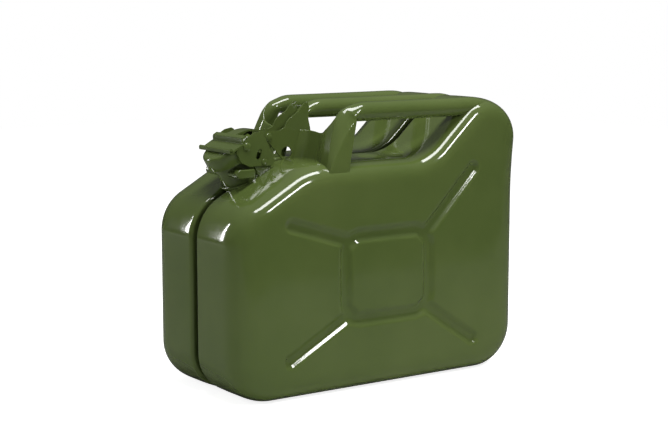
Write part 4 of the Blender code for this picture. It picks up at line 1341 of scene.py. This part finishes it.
@dataclass
class Filler:
    """Everything fixed round the filler neck."""

    paints: Paintbox
    rule: TubeRule
    tilt: Matrix
    radius: float = 0.0205
    wall: float = 0.0015
    height: float = 0.031
    foot: float = -0.017
    straight: float = 0.0262
    lip: Pair = (0.0014, 0.0020)
    lip_steps: int = 12
    weld: Pair = (0.0014, 0.0017)
    weld_out: float = 0.0012
    weld_ripples: int = 52
    weld_steps: int = 220
    ear_ahead: float = 0.0233
    ear_rise: float = 0.0017
    ear_size: Pair = (0.0205, 0.0085)
    ear_reach: Pair = (0.0100, 0.0300)
    catch_half: float = 0.025
    catch_sheet: float = 0.002
    catch_rear: float = 0.0265
    catch_front: float = 0.0048
    catch_corner: float = 0.008
    catch_reach: Pair = (-0.0040, 0.0135)

    def neck(self) -> None:
        """Turns the neck with its rolled lip."""
        bore = self.radius - self.wall
        profile = [(bore, self.foot), (self.radius, self.foot), (self.radius, self.straight)]
        profile += arc((self.radius - 0.0003, self.height - self.lip[1]), self.lip, -90, 90, self.lip_steps)
        profile += [(bore + 0.0006, self.height), (bore + 0.0001, self.height - 0.0004)]
        finish_piece(lathe("spout", profile, self.tilt, self.paints.enamel), "neck")

    def weld_ring(self) -> None:
        """Lays the weld bead round the neck's foot."""
        middle = self.radius + self.weld_out
        wide, high = self.weld
        spin = self.tilt.to_3x3()
        up = spin @ Vector((0, 0, 1))
        line = []
        for i in range(self.weld_steps):
            turn = math.tau * i / self.weld_steps
            out = Vector((math.cos(turn), math.sin(turn), 0))
            place = self.tilt @ (out * middle + Vector((0, 0, 0.0002 - 0.0012 * math.sin(turn) ** 2)))
            line.append(Station(place, up, spin @ out, high, wide, along=middle * turn))
        ripples = {"Ripple_Pitch": math.tau * middle / self.weld_ripples, "Ripple_Height": 0.00012}
        obj = self.rule.sweep("neck_bead", line, True, self.paints.enamel, Sides=18, **ripples)
        finish_piece(obj, "neck_ring")

    def ears(self) -> None:
        """Builds the two lugs that the lever grips."""
        foot = self.tilt @ Vector((0, 0, 0))
        x, z = foot.x - self.ear_ahead, foot.z + self.ear_rise
        run, rise = self.ear_size
        corners = [(x, z, 0.0040), (x + run, z, 0.0020), (x + run, z + rise, 0.0020), (x, z + rise, 0.0040)]
        for side in Side:
            low, high = (side.value * y for y in self.ear_reach)
            obj = slab(f"lug_{side.word}", [rounded_outline(corners, 8)], low, high, self.paints.enamel)
            soften(obj, 0.0011, 4, 50.0)
            combine(obj, "DIFFERENCE", rod(self.radius + 0.0001, -0.03, 0.04, self.tilt, self.paints.enamel))
            finish_piece(obj, f"neck_ear_{side.word}")

    def breather(self) -> None:
        """Plates the bent air tube inside the neck, which keeps its CAD shape."""
        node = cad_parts["breather_tube"]
        node.data.materials.clear()
        node.data.materials.append(self.paints.plated)

    def catch(self) -> None:
        """Builds the U shaped bracket behind the neck."""

        def trough(inset: float) -> list[Vector]:
            half, rear, corner = (v - inset for v in (self.catch_half, self.catch_rear, self.catch_corner))
            front = self.catch_front
            corners = [(rear, -half, corner), (rear, half, corner), (front, half, 0), (front, -half, 0)]
            return rounded_outline(corners, 8)

        def tilted(a: float, b: float, depth: float) -> Vector:
            return self.tilt @ Vector((a, b, depth))

        outside, inside = trough(0.0), trough(self.catch_sheet)
        loop = outside[-1:] + outside[:-1] + inside[-2::-1] + inside[-1:]
        obj = slab("catch", [loop], *self.catch_reach, self.paints.enamel, tilted)
        soften(obj, 0.0006)
        finish_piece(obj, "catch_bracket")

    def build(self) -> None:
        """Builds the neck's pieces."""
        self.neck()
        self.weld_ring()
        self.ears()
        self.breather()
        self.catch()


@dataclass
class Closure:
    """The cam lever with its studs, and the cap that it carries.

    Places are (u, w) in the neck's frame. cheek_shape holds (run, rise, rounding in mm) round a cheek.
    """

    paints: Paintbox
    tilt: Matrix
    hinge: Vector
    sheet: float = 0.0016
    cheek_inner: float = 0.0261
    cheek_place: Pair = (-0.0071, 0.0017)
    cheek_size: Pair = (0.0356, 0.0387)
    cheek_shape: tuple[Triple, ...] = (
        (0.012, 0.860, 2.2), (0.015, 0.553, 3.0), (0.165, 0.353, 4.0), (0.824, 0.000, 1.5), (0.931, 0.057, 1.2),
        (0.982, 0.491, 4.0), (1.000, 0.870, 1.2), (0.954, 0.935, 1.0), (0.750, 1.000, 2.0), (0.503, 0.995, 2.0),
        (0.259, 0.948, 2.0),
    )
    slot_middle: Pair = (0.0142, 0.0197)
    slot_lean: float = math.radians(46.0)
    slot_reach: float = 0.0029
    slot_radius: float = 0.0024
    tongue_half: float = 0.0290
    tongue_line: tuple[Pair, ...] = (
        (-0.0124, 0.0020), (-0.0128, 0.0008), (-0.0120, 0.0001), (-0.0108, 0.0), (0.0035, 0.0),
    )
    hem_place: Pair = (-0.0112, 0.0020)
    hem_radius: float = 0.0019
    step_half: float = 0.0269
    step_rise: float = 0.0048
    strap_half: float = 0.0092
    strap_start: float = 0.00825
    strap_arch: float = 0.0040
    strap_pieces: int = 18
    web_edge: tuple[Pair, ...] = (
        (0.0350, 0.0238), (0.0275, 0.0275), (0.0275, 0.0362), (0.0260, 0.0378), (0.0228, 0.0386), (0.0095, 0.0372),
    )
    web_reach: Pair = (0.0076, 0.0090)
    eye_wall: float = 0.0026
    stud_place: Pair = (0.0156, 0.0099)
    pivot_place: Pair = (0.0062, 0.0332)
    cap_radius: float = 0.0255
    cap_bottom: float = 0.022
    cap_top: float = 0.0365
    cap_sheet: float = 0.0012
    cap_round: float = 0.0030
    seal_bottom: float = 0.0313
    seal_bore: float = 0.017
    retainer_radius: float = 0.0167
    retainer_height: float = 0.0020
    pin_radius: float = 0.0025
    pin_head: float = 0.0042
    pin_reach: float = 0.0117

    def flat(self, u: float, w: float) -> Vector:
        """A place of the neck's frame as (x, z)."""
        spot = self.tilt @ Vector((u, 0, w))
        return Vector((spot.x, spot.z))

    def sheet_line(self, spots: Sequence[Vector]) -> list[Vector]:
        """The outline of a sheet that follows a line seen from the side.

        Args:
            spots: the line as (x, z).

        Returns:
            The closed outline.
        """
        left, right = [], []
        for i, spot in enumerate(spots):
            before = (spot - spots[max(i - 1, 0)]).normalized()
            after = (spots[min(i + 1, len(spots) - 1)] - spot).normalized()
            along = (before + after).normalized()
            lean = max(along.dot(after if after.length else before), 0.5)
            normal = Vector((-along.y, along.x)) / lean * self.sheet / 2
            left.append(spot + normal)
            right.append(spot - normal)
        return left + right[::-1]

    def cheeks(self) -> list[Thing]:
        """Builds the lever's two side plates with their slots.

        Returns:
            The two plates.
        """
        corners = []
        for a, b, radius in self.cheek_shape:
            u, w = (place + share * size for place, share, size in zip(self.cheek_place, (a, b), self.cheek_size))
            corners.append((*self.flat(u, w), radius / 1000))
        reach = Vector((math.sin(self.slot_lean), math.cos(self.slot_lean))) * self.slot_reach
        along, across = reach.normalized(), Vector((reach.y, -reach.x)).normalized()
        slot = []
        for end, first in ((1, 0.0), (-1, math.pi)):
            middle = Vector(self.slot_middle) + reach * end
            for step in range(13):
                turn = first + math.pi * step / 12
                out = Vector((math.cos(turn), -math.sin(turn)))
                slot.append(self.flat(*(middle + (across * out.x - along * out.y) * self.slot_radius)))
        loops = [rounded_outline(corners, 6), slot[::-1]]
        inner, outer = self.cheek_inner, self.cheek_inner + self.sheet
        return [slab(f"cheek_{s.word}", loops, s.value * inner, s.value * outer, self.paints.enamel) for s in Side]

    def lever(self) -> None:
        """Builds the stamped lever: cheeks, tongue with its rolled hem, step, strap with its webs, and eye."""

        def band(name: str, outline: Sequence[Vector], half: float) -> Thing:
            return slab(name, [outline], -half, half, self.paints.enamel)

        base = self.cap_top + RUNNING_GAP + self.sheet / 2
        high = base + self.step_rise
        line = [self.flat(u, base + w) for u, w in self.tongue_line]
        tongue = band("tongue", self.sheet_line(line), self.tongue_half)
        curl = self.flat(self.hem_place[0], base + self.hem_place[1])
        roll = band("hem", circle(curl, self.hem_radius, 28), self.tongue_half)
        rise = (
            (0.001, base),
            (0.003, base),
            (0.0040, base + 0.0010),
            (0.0053, high - 0.0009),
            (0.0064, high),
            (0.0105, high),
        )
        obj = band("step", self.sheet_line([self.flat(u, w) for u, w in rise]), self.step_half)
        bore = self.pin_radius + RUNNING_GAP
        eye_radius = bore + self.eye_wall
        start = self.flat(self.strap_start, high)
        end = Vector((self.hinge.x, self.hinge.z + eye_radius - self.sheet / 2))
        strap_line = [start]
        for i in range(1, self.strap_pieces + 1):
            share = i / self.strap_pieces
            spot = start.lerp(end, share)
            spot.y += self.strap_arch * math.sin(math.pi * share)
            strap_line.append(spot)
        strap = band("strap", self.sheet_line(strap_line), self.strap_half)
        web = strap_line[1:16] + [self.flat(u, w) for u, w in self.web_edge]
        low, top = self.web_reach
        webs = [slab("web", [web], s.value * low, s.value * top, self.paints.enamel) for s in Side]
        eye = band("eye", circle((self.hinge.x, self.hinge.z), eye_radius, 40), self.strap_half)
        combine(obj, "UNION", *self.cheeks(), tongue, roll, strap, *webs, eye)
        obj.name = obj.data.name = "lever"
        along_pin = Matrix.Translation(self.hinge) @ Matrix.Rotation(math.pi / 2, 4, "X")
        combine(obj, "DIFFERENCE", rod(bore, -0.012, 0.012, along_pin, self.paints.enamel, 40))
        clean(obj.data, 0.5)
        soften(obj, 0.00035)
        finish_piece(obj, "closure_lever", Body.CLOSURE)

    def button(self, name: str, place: Pair, side: Side, radius: float, inner: float, head: Pair) -> Thing:
        """Turns a headed stub that goes through one cheek.

        Args:
            name: the piece's name.
            place: its axis.
            side: which cheek.
            radius: of the stub.
            inner: where the stub ends inside.
            head: the domed head's radius and height.

        Returns:
            The turned piece.
        """
        face = self.cheek_inner + self.sheet + RUNNING_GAP
        profile = [(0, inner), (radius, inner), (radius, face), (head[0], face)] + dome(head[0], face, head[1], 0.25, 8)
        spot = self.flat(*place)
        outward = Matrix.Rotation(-side.value * math.pi / 2, 4, "X")
        axis = Matrix.Translation(Vector((spot.x, 0, spot.y))) @ outward
        return lathe(f"{name}_{side.word}", profile, axis, self.paints.enamel, 40)

    def studs(self) -> None:
        """Builds the latch studs and the cap's pivots."""
        skirt = math.sqrt(self.cap_radius**2 - 0.0036**2) + RUNNING_GAP
        for side in Side:
            stud = self.button("stud", self.stud_place, side, 0.0025, 0.0253, (0.0033, 0.0008))
            finish_piece(stud, f"latch_stud_{side.word}", Body.CLOSURE)
            pivot = self.button("pivot", self.pivot_place, side, 0.0026, skirt, (0.0042, 0.0016))
            finish_piece(pivot, f"cap_pivot_{side.word}", Body.CAP)

    def cap(self) -> None:
        """Turns the cap, its gasket and the disc that holds the gasket."""
        skirt, under = self.cap_radius - self.cap_sheet, self.cap_top - self.cap_sheet
        middle = (self.cap_radius - self.cap_round, self.cap_top - self.cap_round)
        profile = [(0, self.cap_top)] + arc(middle, (self.cap_round, self.cap_round), 90, 0, 8)
        profile += [(self.cap_radius, self.cap_bottom + 0.0004), (self.cap_radius - 0.0003, self.cap_bottom)]
        profile += [(skirt + 0.0002, self.cap_bottom), (skirt, self.cap_bottom + 0.0003), (skirt, under - 0.0015)]
        profile += [(skirt - 0.0005, under - 0.0004), (skirt - 0.0015, under), (0, under)]
        finish_piece(lathe("lid", profile, self.tilt, self.paints.enamel), "cap", Body.CAP)
        low, high, rim, bore = self.seal_bottom, under - RUNNING_GAP, skirt - 0.0018, self.seal_bore
        seal = [(bore, low + 0.0004), (bore + 0.0004, low), (rim - 0.0005, low), (rim, low + 0.0005)]
        seal += [(rim, high - 0.0004), (rim - 0.0004, high), (bore, high)]
        finish_piece(lathe("seal", seal, self.tilt, self.paints.rubber), "cap_gasket", Body.CAP)
        edge, low = self.retainer_radius, high - self.retainer_height
        disc = [(0, low), (edge - 0.0004, low), (edge, low + 0.0004), (edge, high), (0, high)]
        finish_piece(lathe("retainer", disc, self.tilt, self.paints.plated), "gasket_retainer", Body.CAP)

    def pin(self) -> None:
        """Turns the hinge pin with its two upset heads."""
        upper = [(self.pin_radius, self.pin_reach), (self.pin_head, self.pin_reach)]
        upper += dome(self.pin_head, self.pin_reach, 0.0016, 0.3, 6)
        profile = [(r, -h) for r, h in upper[::-1]] + upper
        place = Matrix.Translation(self.hinge) @ Matrix.Rotation(math.pi / 2, 4, "X")
        finish_piece(lathe("hinge", profile, place, self.paints.enamel, 40), "hinge_pin")

    def build(self) -> None:
        """Builds the closure."""
        self.lever()
        self.studs()
        self.cap()
        self.pin()


@dataclass
class SeamBead:
    """The weld that joins the two flanges at the bottom of the seam groove."""

    paints: Paintbox
    rule: TubeRule
    body: PressedBody
    depth: float = 0.0056
    wide: float = 0.0017
    high: float = 0.0010
    pitch: float = 0.0009

    def build(self) -> None:
        """Sweeps the bead round the can, with its small ripples."""
        line, along = [], 0.0
        ring = [(Vector((p.x - n.x * self.depth, 0, p.y - n.y * self.depth)), n) for p, n in self.body.outline]
        fine: list[tuple[Vector, Vector]] = []
        for (a, n), (b, m) in zip(ring, ring[1:] + ring[:1]):
            pieces = max(round((b - a).length / self.pitch), 1)
            fine += [(a.lerp(b, i / pieces), n.lerp(m, i / pieces).normalized()) for i in range(pieces)]
        for i, (place, normal) in enumerate(fine):
            along += (place - fine[i - 1][0]).length if i else 0.0
            up = Vector((normal.x, 0, normal.y))
            line.append(Station(place, up, Vector((0, 1, 0)), self.high, self.wide, along=along))
        ripples = {"Ripple_Pitch": 0.0042, "Ripple_Height": 0.00016}
        obj = self.rule.sweep("seam_bead", line, True, self.paints.shell, Sides=12, **ripples)
        finish_piece(obj, "seam_weld")


@dataclass
class Studio:
    """Camera, lamps, floor and surroundings.

    room holds the greys that the paint mirrors, from straight down to straight up.
    """

    position: Triple = (-0.92054, -1.30576, 0.38594)
    forward: Triple = (0.56732, 0.81106, -0.14257)
    focal_pixels: float = 1574.9
    frame_pixels: float = 668.0
    sensor: float = 36.0
    aim: Triple = (0.0, 0.0, 0.14)
    table_tone: float = 0.82
    mirrored_table_tone: float = 0.20
    table_glow: float = 0.85
    table: tuple[Triple, ...] = ((-2.5, -0.62, 0), (2.5, -0.62, 0), (2.5, 3.0, 0), (-2.5, 3.0, 0))
    fill: float = 0.20
    room: tuple[Pair, ...] = ((0.0, 0.10), (0.40, 0.06), (0.52, 0.05), (0.75, 0.10), (1.0, 0.30))

    def camera(self) -> None:
        """Places the camera at the photograph's angle."""
        data = bpy.data.cameras.new("camera")
        data.sensor_width = self.sensor
        data.lens = self.focal_pixels * self.sensor / self.frame_pixels
        data.clip_start, data.clip_end = 0.05, 50.0
        camera = add_object("camera", data)
        camera.location = self.position
        camera.rotation_euler = Vector(self.forward).to_track_quat("-Z", "Y").to_euler()
        bpy.context.scene.camera = camera

    def lamp(self, name: str, place: Triple, size: Pair, watts: float) -> None:
        """Hangs one soft box.

        Args:
            name: the lamp's name.
            place: where it hangs.
            size: width and height.
            watts: its power.
        """
        data = bpy.data.lights.new(name, "AREA")
        data.shape = "RECTANGLE"
        data.size, data.size_y = size
        data.energy = watts
        lamp = add_object(name, data)
        lamp.location = place
        lamp.rotation_euler = (Vector(self.aim) - Vector(place)).to_track_quat("-Z", "Y").to_euler()
        lamp.visible_camera = False

    def floor(self) -> None:
        """Lays the pale table top, which ends in front of the can."""
        material, tree = new_material("pale_table")
        path = tree.add("ShaderNodeLightPath")
        tone = tree.mix(path.outputs["Is Glossy Ray"], grey(self.table_tone), grey(self.mirrored_table_tone))
        diffuse = tree.add("ShaderNodeBsdfDiffuse", {"Color": tone})
        strength = tree.maths("MULTIPLY", tree.either(path), self.table_glow)
        glow = tree.add("ShaderNodeEmission", {"Color": grey(1.0), "Strength": strength})
        tree.surface("ShaderNodeAddShader", {0: diffuse.outputs[0], 1: glow.outputs[0]})
        mesh = bpy.data.meshes.new("table")
        mesh.from_pydata(self.table, [], [(0, 1, 2, 3)])
        mesh.materials.append(material)
        add_object("table", mesh)

    def surroundings(self) -> None:
        """White to the camera, a dim room that pales upwards to the paint."""
        world = bpy.data.worlds.new("studio")
        bpy.context.scene.world = world
        world.use_nodes = True
        tree = Nodes(world.node_tree)

        def background(colour: Socket | Colour) -> Socket:
            return tree.add("ShaderNodeBackground", {"Color": colour}).outputs[0]

        place = tree.add("ShaderNodeTexCoord").outputs["Generated"]
        height = tree.add("ShaderNodeSeparateXYZ", {0: place}).outputs["Z"]
        ramp = tree.add("ShaderNodeValToRGB", {0: tree.spread(height, (-1.0, 1.0), UNIT)})
        stops = ramp.color_ramp.elements
        (_, bottom), *between, (_, top) = self.room
        stops[0].color, stops[1].color = grey(bottom), grey(top)
        for position, level in between:
            stops.new(position).color = grey(level)
        path = tree.add("ShaderNodeLightPath")
        mirrored = {0: path.outputs["Is Glossy Ray"], 1: background(grey(self.fill)), 2: background(ramp.outputs[0])}
        lit = tree.add("ShaderNodeMixShader", mirrored).outputs[0]
        seen = {0: tree.either(path), 1: lit, 2: background(grey(1.0))}
        tree.surface("ShaderNodeMixShader", seen, "ShaderNodeOutputWorld")

    def build(self) -> None:
        """Sets everything round the can."""
        bpy.context.scene.view_settings.view_transform = "Standard"
        self.camera()
        self.floor()
        self.surroundings()
        self.lamp("key", (0.18, -1.25, 1.15), (0.40, 0.20), 8.0)
        self.lamp("strip_left", (-1.12, 1.33, 0.53), (0.08, 0.78), 7.0)
        self.lamp("overhead", (0.0, -0.30, 1.7), (1.3, 0.45), 25.0)


def main() -> None:
    paints = Paintbox()
    Studio().build()
    body = PressedBody(paints)
    tilt = TiltedFrame().matrix(body)
    rule = TubeRule()
    hinge = tilt @ Vector((0.03945, 0, 0.02161))
    for side in Side:
        body.half(side, rod(0.019, -0.022, 0.004, tilt, paints.enamel))
    SeamBead(paints, rule, body).build()
    Handles(paints, rule, body).build()
    FrontSheets(paints, body, hinge).build()
    Filler(paints, rule, tilt).build()
    Closure(paints, tilt, hinge).build()


if __name__ == "__main__":
    main()
